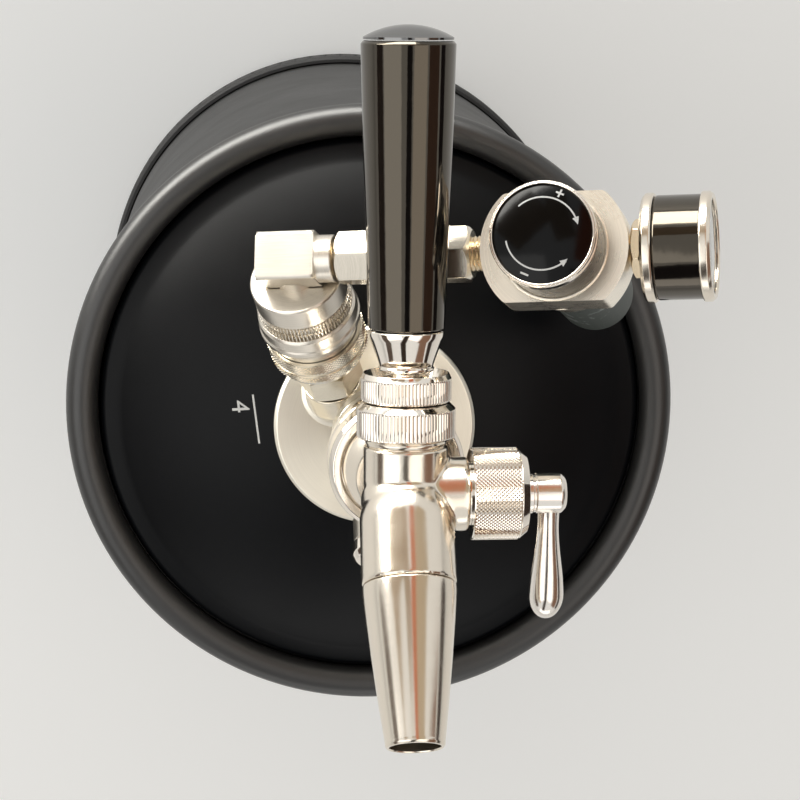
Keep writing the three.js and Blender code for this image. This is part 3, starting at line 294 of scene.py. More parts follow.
# material, slot, colour, roughness, metallic, maker with its values, and other constants of the shader
finishSettings = {
    "powder": ("powderCoat", "black_coat", (0.011, 0.0105, 0.010), 0.35, 0, coated, (2.6, 0.05),
               {"Specular IOR Level": 0.75}),
    "wall": ("wallCoat", "black_coat", (0.010, 0.0098, 0.0096), 0.44, 0, coated, (2.6, 0.05),
             {"Specular IOR Level": 0.25}),
    "dome": ("domeCoat", "black_coat", (0.0015, 0.0018, 0.0025), 0.34, 0, coated, (3.4, 0.035),
             {"Specular IOR Level": 0.13}),
    "rubber": ("blackRubber", "rubber", (0.016, 0.016, 0.017), 0.72, 0, coated, (1.8, 0.06),
               {"Specular IOR Level": 0.35}),
    "chrome": ("chromePlate", "chrome", (0.86, 0.80, 0.72), 0.075, 1, polishedMetal, ()),
    "cast": ("platedCasting", "chrome", (0.80, 0.73, 0.63), 0.17, 1, polishedMetal, ()),
    "disc": ("spunDisc", "steel", (0.90, 0.85, 0.74), 0.36, 1, turnedMetal, (6.0, 0.008, 0.9, 0.93),
             {"Anisotropic": 0.6}),
    "satin": ("satinSteel", "satin_nickel", (0.74, 0.69, 0.61), 0.27, 1, turnedMetal, (9.0, 0.008)),
    "brushed": ("brushedBlock", "satin_nickel", (0.70, 0.66, 0.59), 0.34, 1, brushedMetal,
                (7.0, 0.014, (1, 1, 0.02))),
    "fitting": ("fittingSteel", "satin_nickel", (0.78, 0.72, 0.62), 0.15, 1, turnedMetal, (5.0, 0.008)),
    "blueSteel": ("blueSteel", "blue_steel", (0.60, 0.64, 0.70), 0.16, 1, turnedMetal, (7.0, 0.006)),
    "champagne": ("champagneSteel", "champagne", (0.98, 0.91, 0.79), 0.26, 1, turnedMetal, (6.0, 0.010)),
    "lever": ("leverSteel", "chrome", (0.84, 0.79, 0.73), 0.13, 1, turnedMetal, (8.0, 0.004, 0.6, 0.93)),
    "brass": ("threadBrass", "steel", (0.80, 0.66, 0.47), 0.24, 1, turnedMetal, (5.0, 0.008)),
    "knurl": ("knurledSteel", "satin_nickel", (0.82, 0.75, 0.62), 0.20, 1, turnedMetal, (5.0, 0.004)),
    "gloss": ("glossBlack", "gloss_black", (0.003, 0.003, 0.0035), 0.05, 0, glossy, (0.03,),
              {"Specular IOR Level": 1.0, "Specular Tint": (1, 0.87, 0.69, 1)}),
    "capGloss": ("capBlack", "gloss_black", (0.003, 0.003, 0.0035), 0.04, 0, glossy, (0.02,),
                 {"IOR": 2.1, "Specular IOR Level": 0.8}),
    "ink": ("deepBlack", "gloss_black", (0.001, 0.001, 0.0012), 0.10, 0, glossy, (0.02,),
            {"Specular IOR Level": 0.2}),
    "green": ("cartridgeGreen", "cartridge_green", (0.055, 0.066, 0.060), 0.5, 0.35, lacquered,
              ((0.30, 0.32, 0.31),)),
    "print": ("whitePrint", "dial_white", (0.72, 0.72, 0.70), 0.5, 0, mottled, ()),
    "dial": ("dialEnamel", "dial_white", (0.80, 0.80, 0.77), 0.55, 0, mottled, ()),
    "red": ("needleRed", "needle_red", (0.45, 0.02, 0.02), 0.45, 0, mottled, ()),
    "glass": ("lensGlass", "clear", (0.95, 0.97, 0.97), 0.02, 0, clear, (), {"Transmission Weight": 1.0, "IOR": 1.46}),
}
look = {}
for key, (label, slot, colour, roughness, metallic, maker, values, *constants) in finishSettings.items():
    finish = Finish(label, colour, roughness, metallic, *constants)
    maker(finish, *values)
    look[key] = finish.material
print("finishes ready")


# Shapes

arcStep = 0.3  # radians between the points of a soft corner


def place(origin, zAxis, xAxis):
    z = Vector(zAxis).normalized()
    x = (Vector(xAxis) - z * z.dot(Vector(xAxis))).normalized()
    matrix = Matrix((x, z.cross(x), z)).transposed().to_4x4()
    matrix.translation = Vector(origin) * millimetre
    return matrix


def heading(angle):
    return Vector((math.cos(angle), math.sin(angle)))


def arc(x, y, wide, tall, start, end, steps):
    # points along an ellipse, from one angle to another
    points = []
    for k in range(steps + 1):
        angle = start + (end - start) * k / steps
        points.append((x + wide * math.cos(angle), y + tall * math.sin(angle)))
    return points


def softened(points, closed=False):
    # a profile's corners with a third number become arcs of that radius
    made = []
    count = len(points)
    for i, corner in enumerate(points):
        here = Vector(corner[:2])
        if not sum(corner[2:]) or (not closed and i in (0, count - 1)):
            made.append((here.x, here.y))
            continue
        before = Vector(points[i - 1][:2]) - here
        after = Vector(points[(i + 1) % count][:2]) - here
        first = before.normalized()
        second = after.normalized()
        half = math.acos(max(-1, min(1, first.dot(second)))) / 2
        sweep = math.pi - 2 * half
        if sweep < 0.02:
            made.append((here.x, here.y))
            continue
        back = min(corner[2] / math.tan(half), before.length * 0.49, after.length * 0.49)
        radius = back * math.tan(half)
        centre = here + (first + second).normalized() * (radius / math.sin(half))
        start = (here + first * back - centre) / radius
        end = (here + second * back - centre) / radius
        steps = max(2, round(sweep / arcStep))
        for k in range(steps + 1):
            share = k / steps
            arm = start * math.sin((1 - share) * sweep) + end * math.sin(share * sweep)
            spot = centre + arm * (radius / math.sin(sweep))
            made.append((spot.x, spot.y))
    return made


def spun(profile, sides=96, closed=False, shape=None):
    # a profile of (radius, height, softness) turned about z; shape may change the radius with the angle
    rings = []
    vertices = []
    faces = []
    for radius, height in softened(profile, closed):
        if radius < 1e-6:
            rings.append([len(vertices)] * sides)
            vertices.append((0, 0, height))
            continue
        rings.append(list(range(len(vertices), len(vertices) + sides)))
        for k in range(sides):
            angle = fullTurn * k / sides
            reach = shape(angle, radius, height) if shape else radius
            vertices.append((reach * math.cos(angle), reach * math.sin(angle), height))
    for low, high in zip(rings, rings[1:] + (rings[:1] if closed else [])):
        for k in range(sides):
            after = (k + 1) % sides
            corners = list(dict.fromkeys((low[k], low[after], high[after], high[k])))
            if len(corners) > 2:
                faces.append(corners)
    return vertices, faces


def rod(radius, low, high, soft=0.0):
    return [(0, low), (radius, low), (radius, high, soft), (0, high)]


def crownOver(top, edgeRadius, edgeHeight):
    # the centre and the height of a ball-shaped crown
    rise = top - edgeHeight
    sphere = (edgeRadius ** 2 + rise ** 2) / (2 * rise)
    centre = top - sphere
    return centre, lambda x, y=0.0: centre + math.sqrt(sphere ** 2 - x * x - y * y)


def crownPoints(crown, start, end, steps):
    radii = [start + (end - start) * k / steps for k in range(steps + 1)]
    return [(radius, crown(radius)) for radius in radii]


def hexed(corner, low, high, face, slope=0.577, soft=0.35, turn=0.0, perSide=7):
    # a hexagon bar whose ends are chamfered by a cone, as on a turned nut
    corners = softened([(*heading(turn + side * math.pi / 3) * corner, soft) for side in range(6)], True)
    perCorner = len(corners) // 6
    outline = []
    for k, spot in enumerate(corners):
        start = Vector(spot)
        outline.append(start)
        if k % perCorner == perCorner - 1:
            target = Vector(corners[(k + 1) % len(corners)])
            outline += [start.lerp(target, step / perSide) for step in range(1, perSide)]
    flat = corner * math.cos(math.pi / 6) * face
    vertices = []
    for point in outline:
        reach = point.length
        arm = point / reach
        drop = (reach - flat) * slope
        column = [(0, low), (flat, low), (reach, low + drop), (reach, high - drop), (flat, high), (0, high)]
        vertices += [(arm.x * radius, arm.y * radius, height) for radius, height in column]
    rows = 6
    faces = []
    for k in range(len(outline)):
        here = k * rows
        after = (k + 1) % len(outline) * rows
        faces += [(here + row, after + row, after + row + 1, here + row + 1) for row in range(rows - 1)]
    return vertices, faces


def knurled(radius, low, high, bore, count, rows, depth, edge=0.3):
    # a ring with pointed diamonds round it
    columns = 2 * count
    rim = radius - depth - edge * 0.6
    span = high - low - 2 * edge
    levels = [(bore, low), (rim, low), (radius - depth, low + edge)]
    first = len(levels)
    levels += [(radius, low + edge + span * (row + 0.001) / (rows + 0.002)) for row in range(rows + 1)]
    levels += [(radius - depth, high - edge), (rim, high), (bore, high)]
    vertices, quads = spun(levels, columns, True)
    sunk = (radius - depth) / radius
    for row in range(rows + 1):
        for k in range(row % 2, columns, 2):
            x, y, z = vertices[(first + row) * columns + k]
            vertices[(first + row) * columns + k] = (x * sunk, y * sunk, z)
    faces = []
    for index, (a, b, c, d) in enumerate(quads):
        row, k = divmod(index, columns)
        if not first <= row < first + rows:
            faces.append((a, b, c, d))
        elif (k + row - first) % 2 == 0:
            faces += [(a, b, c), (a, c, d)]
        else:
            faces += [(a, b, d), (b, c, d)]
    return vertices, faces


def threaded(radius, low, high, pitch, depth, sides=48):
    # a screw thread as a closed bar
    rows = max(4, round((high - low) / pitch * 6))
    levels = [(radius, low + (high - low) * row / rows) for row in range(rows + 1)]

    def shape(angle, reach, height):
        share = (height / pitch - angle / fullTurn) % 1
        return reach - depth * abs(2 * share - 1)

    return spun([(0, low)] + levels + [(0, high)], sides, False, shape)


def pushed(outline, low, high, soft, steps=4):
    # an outline pushed up into a plate, with rounded rims
    count = len(outline)
    mesh = bmesh.new()
    bottom = [mesh.verts.new((x, y, low)) for x, y in outline]
    top = [mesh.verts.new((x, y, high)) for x, y in outline]
    mesh.faces.new(bottom[::-1])
    mesh.faces.new(top)
    for k in range(count):
        after = (k + 1) % count
        mesh.faces.new((bottom[k], bottom[after], top[after], top[k]))
    rims = [edge for edge in mesh.edges if abs(edge.verts[0].co.z - edge.verts[1].co.z) < 1e-6]
    bmesh.ops.bevel(mesh, geom=rims, offset=soft, segments=steps, profile=0.5, affect="EDGES")
    mesh.verts.index_update()
    vertices = [tuple(vertex.co) for vertex in mesh.verts]
    faces = [tuple(vertex.index for vertex in face.verts) for face in mesh.faces]
    mesh.free()
    return vertices, faces


def moved(shape, matrix):
    vertices, faces = shape
    return [tuple(matrix @ Vector(vertex)) for vertex in vertices], faces


def joined(*shapes):
    vertices = []
    faces = []
    for some, patches in shapes:
        start = len(vertices)
        vertices += some
        faces += [tuple(start + corner for corner in patch) for patch in patches]
    return vertices, faces


def band(path, widths, surface, lift, sink):
    # a thin printed or inlaid strip along a path, lying on a surface
    vertices = []
    faces = []
    last = len(path) - 1
    for k, point in enumerate(path):
        here = Vector(point)
        ahead = (Vector(path[min(k + 1, last)]) - Vector(path[max(k - 1, 0)])).normalized()
        side = Vector((-ahead.y, ahead.x)) * widths[k] / 2
        for spot in (here - side, here + side):
            level = surface(spot.x, spot.y)
            vertices += [(spot.x, spot.y, level + lift), (spot.x, spot.y, level - sink)]
    for k in range(last):
        a = 4 * k
        faces += [
            (a, a + 2, a + 6, a + 4), (a + 1, a + 5, a + 7, a + 3),
            (a, a + 4, a + 5, a + 1), (a + 2, a + 3, a + 7, a + 6),
        ]
    faces += [(0, 1, 3, 2), (4 * last, 4 * last + 2, 4 * last + 3, 4 * last + 1)]
    return vertices, faces


def piece(name, body, finish, where, node, shape, sharp=34):
    # makes the mesh in its own frame, hangs it on its body and lets it stand for its node
    vertices, faces = shape
    mesh = bpy.data.meshes.new(name)
    mesh.from_pydata([tuple(part * millimetre for part in vertex) for vertex in vertices], [], faces)
    work = bmesh.new()
    work.from_mesh(mesh)
    bmesh.ops.recalc_face_normals(work, faces=work.faces[:])
    work.to_mesh(mesh)
    work.free()
    mesh.shade_smooth()
    mesh.set_sharp_from_angle(angle=math.radians(sharp))
    mesh.materials.append(look[finish])
    made = hung(name, mesh, where)
    made.modifiers.new("evenNormals", "WEIGHTED_NORMAL").keep_sharp = True
    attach(made, body)
    if node:
        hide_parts(node)
    return made


def turned(name, body, finish, where, node, sides, profile, closed=False, shape=None, sharp=34):
    return piece(name, body, finish, where, node, spun(profile, sides, closed, shape), sharp)


def printed(name, text, size, thick, finish, body, where):
    # a number on a surface
    data = bpy.data.curves.new(name, "FONT")
    data.body = text
    data.size = size * millimetre
    data.extrude = thick * millimetre
    data.align_x = "CENTER"
    data.align_y = "CENTER"
    data.materials.append(look[finish])
    number = hung(name, data, where)
    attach(number, body)


# Where the groups stand

kegPlace = Matrix.Identity(4)
tapPlace = place((2.6, 0.2, 268), (0.02963, -0.05234, 0.99819), (0.99947, -0.0122, -0.0303))
tapReach = 70.2  # crossing of shank and handle
elbowAt = Vector((0, -5.9, 76.2))
handleTilt = math.radians(5.4)
spoutLean = math.radians(33.2)
handlePlace = tapPlace @ place((0, 0, tapReach), (0, math.cos(handleTilt), -math.sin(handleTilt)), (1, 0, 0))
spoutPlace = tapPlace @ place(elbowAt, (0, -math.cos(spoutLean), math.sin(spoutLean)), (1, 0, 0))
flowPlace = tapPlace @ place((0, 0, tapReach), (1, 0, 0), (0, 1, 0))
leverPlace = tapPlace @ place((38, 0, tapReach), (0, -1, 0), (1, 0, 0))
gasPlace = place((-10.9, 10, 268), (-0.22397, 0.73257, 0.64279), (1, 0, 0))
lineAxis = Vector((0.96211, 0.06095, 0.26577))
regulatorUp = Vector((-0.27128, 0.31204, 0.91051))
lineUp = Vector((-0.22397, 0.73257, 0.64279))
lineAt = Vector((-24.46137, 54.35723, 306.92079))
regulatorAt = Vector((45.67633, 58.80053, 326.29529))
linePlace = place(lineAt, lineAxis, lineUp)
regulatorPlace = place(regulatorAt, regulatorUp, lineAxis)
gaugePlace = place(regulatorAt, lineAxis, regulatorUp.cross(lineAxis))
cartridgePlace = place(regulatorAt, -regulatorUp, lineAxis)
reliefPlace = place((-1, -17, 268), (0, -1, 1), (1, 0, 0))


# Keg

kegSettings = {
    "radius": 86,
    "rimRadius": 85.75,
    "rimHeight": 240,
    "rimTube": 4.75,
    "domeTop": 266,
    "domeEdge": 77.3,
    "domeEdgeHeight": 241.5,
    "domeHole": 26.3,
    "columns": 192,
    "markWidth": 0.55,
    "digitAt": (-38.9, 4.6),
    "digitSize": 7.6,
    "ribs": 96,
    "ribDepth": 0.55,
}


def addKeg(settings):
    columns = settings["columns"]
    wall = settings["radius"]
    turned("kegShell", "keg", "wall", kegPlace, "outer_shell", columns, [
        (0, 4.3), (wall - 9, 4.3, 1), (wall, 7.5, 5), (wall, 221.5, 0.5), (wall - 0.7, 222.6, 0.6),
        (wall - 0.7, 225.4, 0.6), (wall, 226.5, 0.5), (wall, 234.95, 0.3), (wall - 1.2, 234.95, 0.3),
        (wall - 1.2, 229.5, 0.3), (0, 229.5),
    ])
    tube = settings["rimTube"]
    rim = arc(settings["rimRadius"], settings["rimHeight"], tube, tube, 0, fullTurn, 36)[:-1]
    turned("rolledRim", "keg", "powder", kegPlace, "top_rim", columns, rim, True)
    turned("rimCurl", "keg", "powder", kegPlace, None, columns, [
        (80.9, 236.1, 0.5), (82.6, 235.0, 0.8), (84.7, 235.4, 0.3), (84.7, 232.4, 0.2),
        (83.9, 232.4, 0.2), (83.7, 234.2, 0.3), (81.4, 234.8, 0.4),
    ], True)

    edge = settings["domeEdge"]
    centre, domeHeight = crownOver(settings["domeTop"], edge, settings["domeEdgeHeight"])
    top = crownPoints(domeHeight, settings["domeHole"], edge, 26)
    under = [(radius, height - 1.2) for radius, height in reversed(top[:-2])]
    turned("kegDome", "keg", "dome", kegPlace, "top_dome", columns, [(*top[0], 0.4)] + top[1:-1] + [
        (edge + 2.9, 241.2, 2.6), (edge + 3, 232.4, 1.6), (84.5, 232, 0.3), (84.5, 230.8, 0.3),
        (79.1, 230.8, 0.4), (79.1, 239.0, 1.5), under[0],
    ] + under[1:-1] + [(*under[-1], 0.3)], True)

    path = [(-35.0 + 1.7 * k / 12, 8.3 - 14.4 * k / 12) for k in range(13)]
    mark = band(path, [settings["markWidth"]] * len(path), domeHeight, 0.05, 0.3)
    piece("levelMark", "keg", "print", kegPlace, None, mark)
    x, y = settings["digitAt"]
    outward = Vector((x, y, domeHeight(x, y) - centre)).normalized()
    spot = Vector((x, y, domeHeight(x, y))) + outward * 0.04
    printed("levelNumber", "4", settings["digitSize"], 0.05, "print", "keg", place(spot, outward, (0.117, -0.993, 0)))

    def ribs(angle, radius, height):
        if radius < 88.5 or not 2.6 <= height <= 14.2:
            return radius
        return radius - settings["ribDepth"] * max(0, math.cos(angle * settings["ribs"])) ** 2

    turned("footBoot", "keg", "rubber", kegPlace, "base_boot", settings["ribs"] * 8, [
        (0, 0), (74, 0), (76, 0.8), (80, 0.8), (82, 0), (86.4, 0), (88, 0.7), (88.7, 1.9), (88.7, 2.5), (88.7, 2.7),
        (88.7, 6), (88.7, 10), (88.7, 14.1), (88.7, 14.3), (88.4, 15.4), (87.6, 16), (86.5, 16), (86.3, 15.5),
        (86.3, 4), (0, 4),
    ], False, ribs)
    print("keg ready")


addKeg(kegSettings)


# Head cap and posts

headSettings = {
    "radius": 29.1,
    "bottom": 264.7,
    "top": 268,
    "seats": (("gasSeat", -10.9, 10, 9.6), ("reliefSeat", -1, -17, 7.4), ("tapSeat", 2.6, 0.2, 11)),
}


def addHead(settings):
    radius = settings["radius"]
    bottom = settings["bottom"]
    top = settings["top"]
    turned("headCap", "keg", "disc", kegPlace, "head_cap", 144, [
        (0, bottom), (radius - 0.6, bottom, 0.3), (radius, bottom + 0.6, 0.3), (radius, top - 0.9, 0.5),
        (radius - 0.9, top, 0.6), (0, top),
    ])
    for name, x, y, reach in settings["seats"]:
        seat = Matrix.Translation(Vector((x, y, top)) * millimetre)
        turned(name, "keg", "disc", seat, None, 72, [
            (0, -1), (reach + 0.6, -1), (reach + 0.6, 0.1, 0.3), (reach - 0.6, 0.6, 0.5), (0, 0.6),
        ])


addHead(headSettings)


# Tap shank

def addShank():
    neck = spun([
        (0, 4.8), (7.3, 4.8), (7.3, 8, 0.2), (6.7, 8.4, 0.2), (6.7, 9.6, 0.2), (7.3, 10, 0.2),
        (7.3, 13, 0.3), (4.6, 13, 0.3), (4.6, 21, 0.4), (0, 21),
    ], 72)
    piece("liquidPost", "keg", "satin", tapPlace, "liquid_post", joined(hexed(10, 0.3, 5, 0.94), neck))
    turned("hubRing", "keg", "satin", tapPlace, "hub_collar", 120, [
        (13.7, 16), (13.7, 23.9, 0.3), (14.2, 24.5, 0.3), (15.2, 24.5, 0.8), (16.1, 23.4, 0.8), (16.1, 20.2, 0.2),
        (15.7, 19.9, 0.2), (15.7, 19.1, 0.2), (16.1, 18.8, 0.2), (16.1, 13.9, 0.4), (15.5, 13.3, 0.3), (8, 13.3),
        (8, 16),
    ], True)
    turned("hubSeal", "keg", "rubber", tapPlace, "hub_seal", 96, [
        (10.7, 16.3), (10.7, 22.6, 0.4), (11.6, 23, 0.4), (12.2, 22.2, 0.3), (13.0, 22.9, 0.3), (13.4, 22.4, 0.3),
        (13.4, 16.3),
    ], True)
    foot = spun([(0, 16.3), (10.4, 16.3), (10.4, 23.8, 0.4), (9.6, 24.3, 0.3), (9.6, 25, 0.1), (0, 25)])
    adapter = joined(foot, hexed(12, 24.8, 33.4, 0.955), threaded(15.6, 33, 39.5, 1.6, 0.7, 72))
    piece("tapAdapter", "keg", "blueSteel", tapPlace, "tap_adapter", adapter)
    turned("couplingNut", "shank_nut", "chrome", tapPlace, "coupling_nut", 128, [
        (12.6, 32), (17.3, 32, 0.5), (18.5, 33.2, 0.5), (18.5, 36.2, 0.2), (18.15, 36.6, 0.2),
        (18.15, 37.4, 0.2), (18.5, 37.8, 0.2), (18.5, 44.2, 0.7), (17.4, 45.5, 0.6), (15.6, 45.5, 0.3),
        (15.1, 45.0, 0.3), (15.1, 43), (12.6, 43),
    ], True)
    print("shank ready")


addShank()


# Faucet

faucetSettings = {
    "tube": 11.1,
    "elbow": 12.4,
    "grid": 0.42,  # size of the cells that blend the casting's forms
    "smoothing": 9,
}


def addFaucet(settings):
    tube = settings["tube"]
    elbow = settings["elbow"]

    def ball(radius, centre):
        return moved(spun(arc(0, 0, radius, radius, -quarterTurn, quarterTurn, 24)), Matrix.Translation(centre))

    def branch(profile, where):
        # a bar of the casting that stands in another of the tap's places
        local = tapPlace.inverted() @ where
        local.translation = local.translation / millimetre
        return moved(spun(profile), local)

    crossing = Vector((0, 0, tapReach))
    bend = elbowAt - crossing
    bendPlace = tapPlace @ place(crossing, bend, (1, 0, 0))
    casting = joined(
        spun(rod(tube, 50, tapReach)),
        ball(tube, crossing),
        branch(rod((tube + elbow) / 2, 0, bend.length), bendPlace),
        ball(elbow, elbowAt),
        branch(rod(elbow, 0, 16.8, 0.3), spoutPlace),
        branch(rod(tube, 0, 13.2, 0.5), handlePlace),
        branch(rod(9.8, 0, 16.4, 0.8), flowPlace),
    )
    body = piece("faucetCasting", "keg", "cast", tapPlace, "faucet_body", casting, 60)
    body.modifiers.clear()
    blend = body.modifiers.new("blend", "REMESH")
    blend.mode = "VOXEL"
    blend.voxel_size = settings["grid"] * millimetre
    blend.use_smooth_shade = True
    ease = body.modifiers.new("ease", "SMOOTH")
    ease.factor = 0.5
    ease.iterations = settings["smoothing"]

    shares = [(0.1, 0.97), (0.2, 0.88), (0.32, 0.72), (0.45, 0.5), (0.58, 0.31), (0.7, 0.17), (0.85, 0.05), (1, 0)]
    flare = [(tube + 3.7 * out, 45.5 + 9.5 * along) for along, out in shares]
    turned("faucetBell", "keg", "cast", tapPlace, None, 128, [
        (10.4, 41.6), (15.3, 41.6, 0.2), (15.3, 42.7, 0.2), (14.8, 42.9), (14.8, 45.5),
    ] + flare + [(tube - 0.05, 57.5), (tube - 0.6, 58), (10.4, 58)], True)
    turned("faucetNeck", "keg", "cast", handlePlace, None, 112, [
        (0, 10), (10.2, 10), (10.2, 13.3), (10.45, 13.5, 0.2), (10.7, 14.2, 0.5), (10.5, 15.0, 0.3),
        (10.1, 15.1, 0.1), (10.1, 20.8, 0.2), (0, 20.8),
    ])
    turned("flowSpigot", "keg", "chrome", flowPlace, None, 96, rod(8.4, 12, 26.6, 0.4))
    piece("spoutThread", "keg", "chrome", spoutPlace, None, threaded(9.6, 14, 20, 1.2, 0.5, 72))
    turned("faucetSpout", "keg", "cast", spoutPlace, "faucet_spout", 128, [
        (9.9, 16.9), (12.0, 16.9, 0.3), (12.3, 17.3, 0.3), (12.25, 19), (12.0, 22), (11.6, 26), (11.1, 30.5),
        (10.5, 36), (9.9, 41), (9.25, 46.5), (8.6, 51.5), (7.95, 56.3), (7.75, 57.9, 0.3), (7.7, 58.7, 0.4),
        (7.3, 59.35, 0.3), (6.75, 59.35, 0.2), (6.6, 59.0, 0.2), (6.75, 52), (7, 24.2), (9.9, 24),
    ], True)
    print("faucet ready")


addFaucet(faucetSettings)


# Fluted collars and handle

collarSettings = {"flutes": 76, "depth": 0.28, "perFlute": 6, "ball": 6.5, "pivot": 26.5, "stem": 4.2}


def addCollars(settings):
    flutes = settings["flutes"]
    sides = flutes * settings["perFlute"]

    def fluted(full, low, high):
        def shape(angle, radius, height):
            if radius < full - 0.02 or height < low or height > high:
                return radius
            return radius - settings["depth"] * (1 - abs(math.sin(angle * flutes / 2)))
        return shape

    turned("bonnetNut", "keg", "chrome", handlePlace, "bonnet_nut", sides, [
        (10.3, 15.3), (12.3, 15.3, 0.2), (12.9, 15.8), (12.9, 16.1), (12.9, 19), (12.9, 22.4), (12.9, 22.9),
        (12.9, 23.1), (11.4, 24.6, 0.4), (10.4, 24.6),
    ], True, fluted(12.9, 16.0, 23.0), 50)
    turned("lockCollar", "keg", "chrome", handlePlace, "lock_collar", sides, [
        (9.2, 24.9), (11.3, 24.9), (11.8, 25.4), (11.8, 25.7), (11.8, 28), (11.8, 30.4), (11.8, 30.9), (11.8, 31.1),
        (11.7, 31.2), (11.2, 32.4, 0.15), (10.95, 32.4, 0.1), (9.6, 29.0, 0.3), (6.6, 28.7),
    ], True, fluted(11.8, 25.6, 31.0), 50)
    ball = settings["ball"]
    stem = settings["stem"]
    stemStart = quarterTurn - math.asin(stem / ball)  # the ball ends where the stem starts
    lever = arc(0, settings["pivot"], ball, ball, -quarterTurn, stemStart, 16) + [(stem, 44), (0, 44)]
    turned("leverStem", "handle", "chrome", handlePlace, "tap_lever", 64, lever)
    cone = [(7.0 + 2.9 * (share / 8) ** 1.1, 34.2 + share) for share in range(1, 9)]
    turned("handleFerrule", "handle", "chrome", handlePlace, "handle_ferrule", 112, [
        (4, 32.7), (6.9, 32.7, 0.2), (7.25, 33.1, 0.2), (7.25, 33.8, 0.1), (7.0, 34.2, 0.3),
    ] + cone + [(9.9, 43.3, 0.25), (9.6, 43.6, 0.2), (4, 43.6)], True)
    print("collars ready")


addCollars(collarSettings)


gripSettings = {
    "bottom": 43.9, "top": 118, "bottomRadius": 10, "topRadius": 12.3, "belly": 0.12, "capRadius": 11.7,
    "capRise": 3.2,
}


def addGrip(settings):
    low = settings["bottom"]
    high = settings["top"]
    narrow = settings["bottomRadius"]
    wide = settings["topRadius"]
    grip = [(0, low), (narrow - 0.3, low, 0.3), (narrow, low + 0.4)]
    for step in range(1, 16):
        share = step / 16
        radius = narrow + (wide - narrow) * share + settings["belly"] * math.sin(math.pi * share)
        grip.append((radius, low + 0.4 + (high - low - 1.2) * share))
    grip += [(wide, high - 0.8, 0.5), (wide - 0.7, high, 0.5), (0, high)]
    turned("handleGrip", "handle", "gloss", handlePlace, "handle_grip", 128, grip)
    reach = settings["capRadius"]
    base = high + 0.3
    crown = crownOver(base + 0.6 + settings["capRise"], reach, base + 0.6)[1]
    cap = [(0, base), (reach, base)] + crownPoints(crown, reach, 0, 14)
    turned("handleCap", "handle", "capGloss", handlePlace, "handle_cap", 112, cap, sharp=50)


addGrip(gripSettings)


# Flow control

flowSettings = {"collar": 12.2, "bore": 8.6, "diamonds": 72, "rows": 22, "depth": 0.3}


def addFlow(settings):
    bore = settings["bore"]
    knurl = knurled(settings["collar"], 17.1, 29.6, bore, settings["diamonds"], settings["rows"], settings["depth"])
    piece("flowCollar", "keg", "chrome", flowPlace, "flow_collar", knurl, 10)
    turned("flowCollarNose", "keg", "chrome", flowPlace, None, 112, [
        (bore, 29.4), (11.7, 29.4, 0.2), (12.0, 29.8, 0.2), (10.4, 31.8, 0.4), (6.2, 31.8, 0.3), (5.7, 31.2),
        (5.7, 29.4),
    ], True)
    turned("flowStem", "flow_control", "lever", flowPlace, "flow_stem", 96, [
        (0, 27.6), (5.4, 27.6), (5.4, 33.4, 0.15), (5.1, 33.7, 0.15), (5.1, 34.2, 0.15), (5.4, 34.5, 0.15),
        (5.4, 41.0, 1.2), (4.0, 42.4, 1.4), (0, 42.6),
    ])
    shares = [(0.03, 0.02), (0.08, 0.0), (0.16, 0.03), (0.26, 0.14), (0.38, 0.36), (0.5, 0.62), (0.6, 0.82),
              (0.7, 0.94), (0.77, 1.0)]
    lever = [(0, 3.4), (3.1, 3.4), (2.9, 5.7)]
    lever += [(2.85 + 1.85 * out, 5.7 + 29 * along) for along, out in shares]
    lever += arc(0, 28.03, 4.7, 6.67, 0, quarterTurn, 9)[1:]
    turned("flowLever", "flow_control", "lever", leverPlace, "flow_lever", 72, lever)
    print("flow control ready")


addFlow(flowSettings)


# Gas post and quick disconnect

gasSettings = {
    "collar": 13.9,
    "bore": 12.4,
    "diamonds": 84,
    "depth": 0.38,
    "teeth": 80,
    "toothRows": (
        ("teethLower", 0.9, [
            (9, 41), (12.2, 41), (13.1, 41.2), (13.3, 41.5), (13.3, 43.2), (13.1, 43.5), (9, 43.6),
        ]),
        ("teethUpper", 0.7, [
            (9, 43.5), (12.2, 43.5), (12.9, 43.8), (13.1, 44.1), (13.1, 45.3), (12.8, 45.7), (9, 45.8),
        ]),
    ),
}


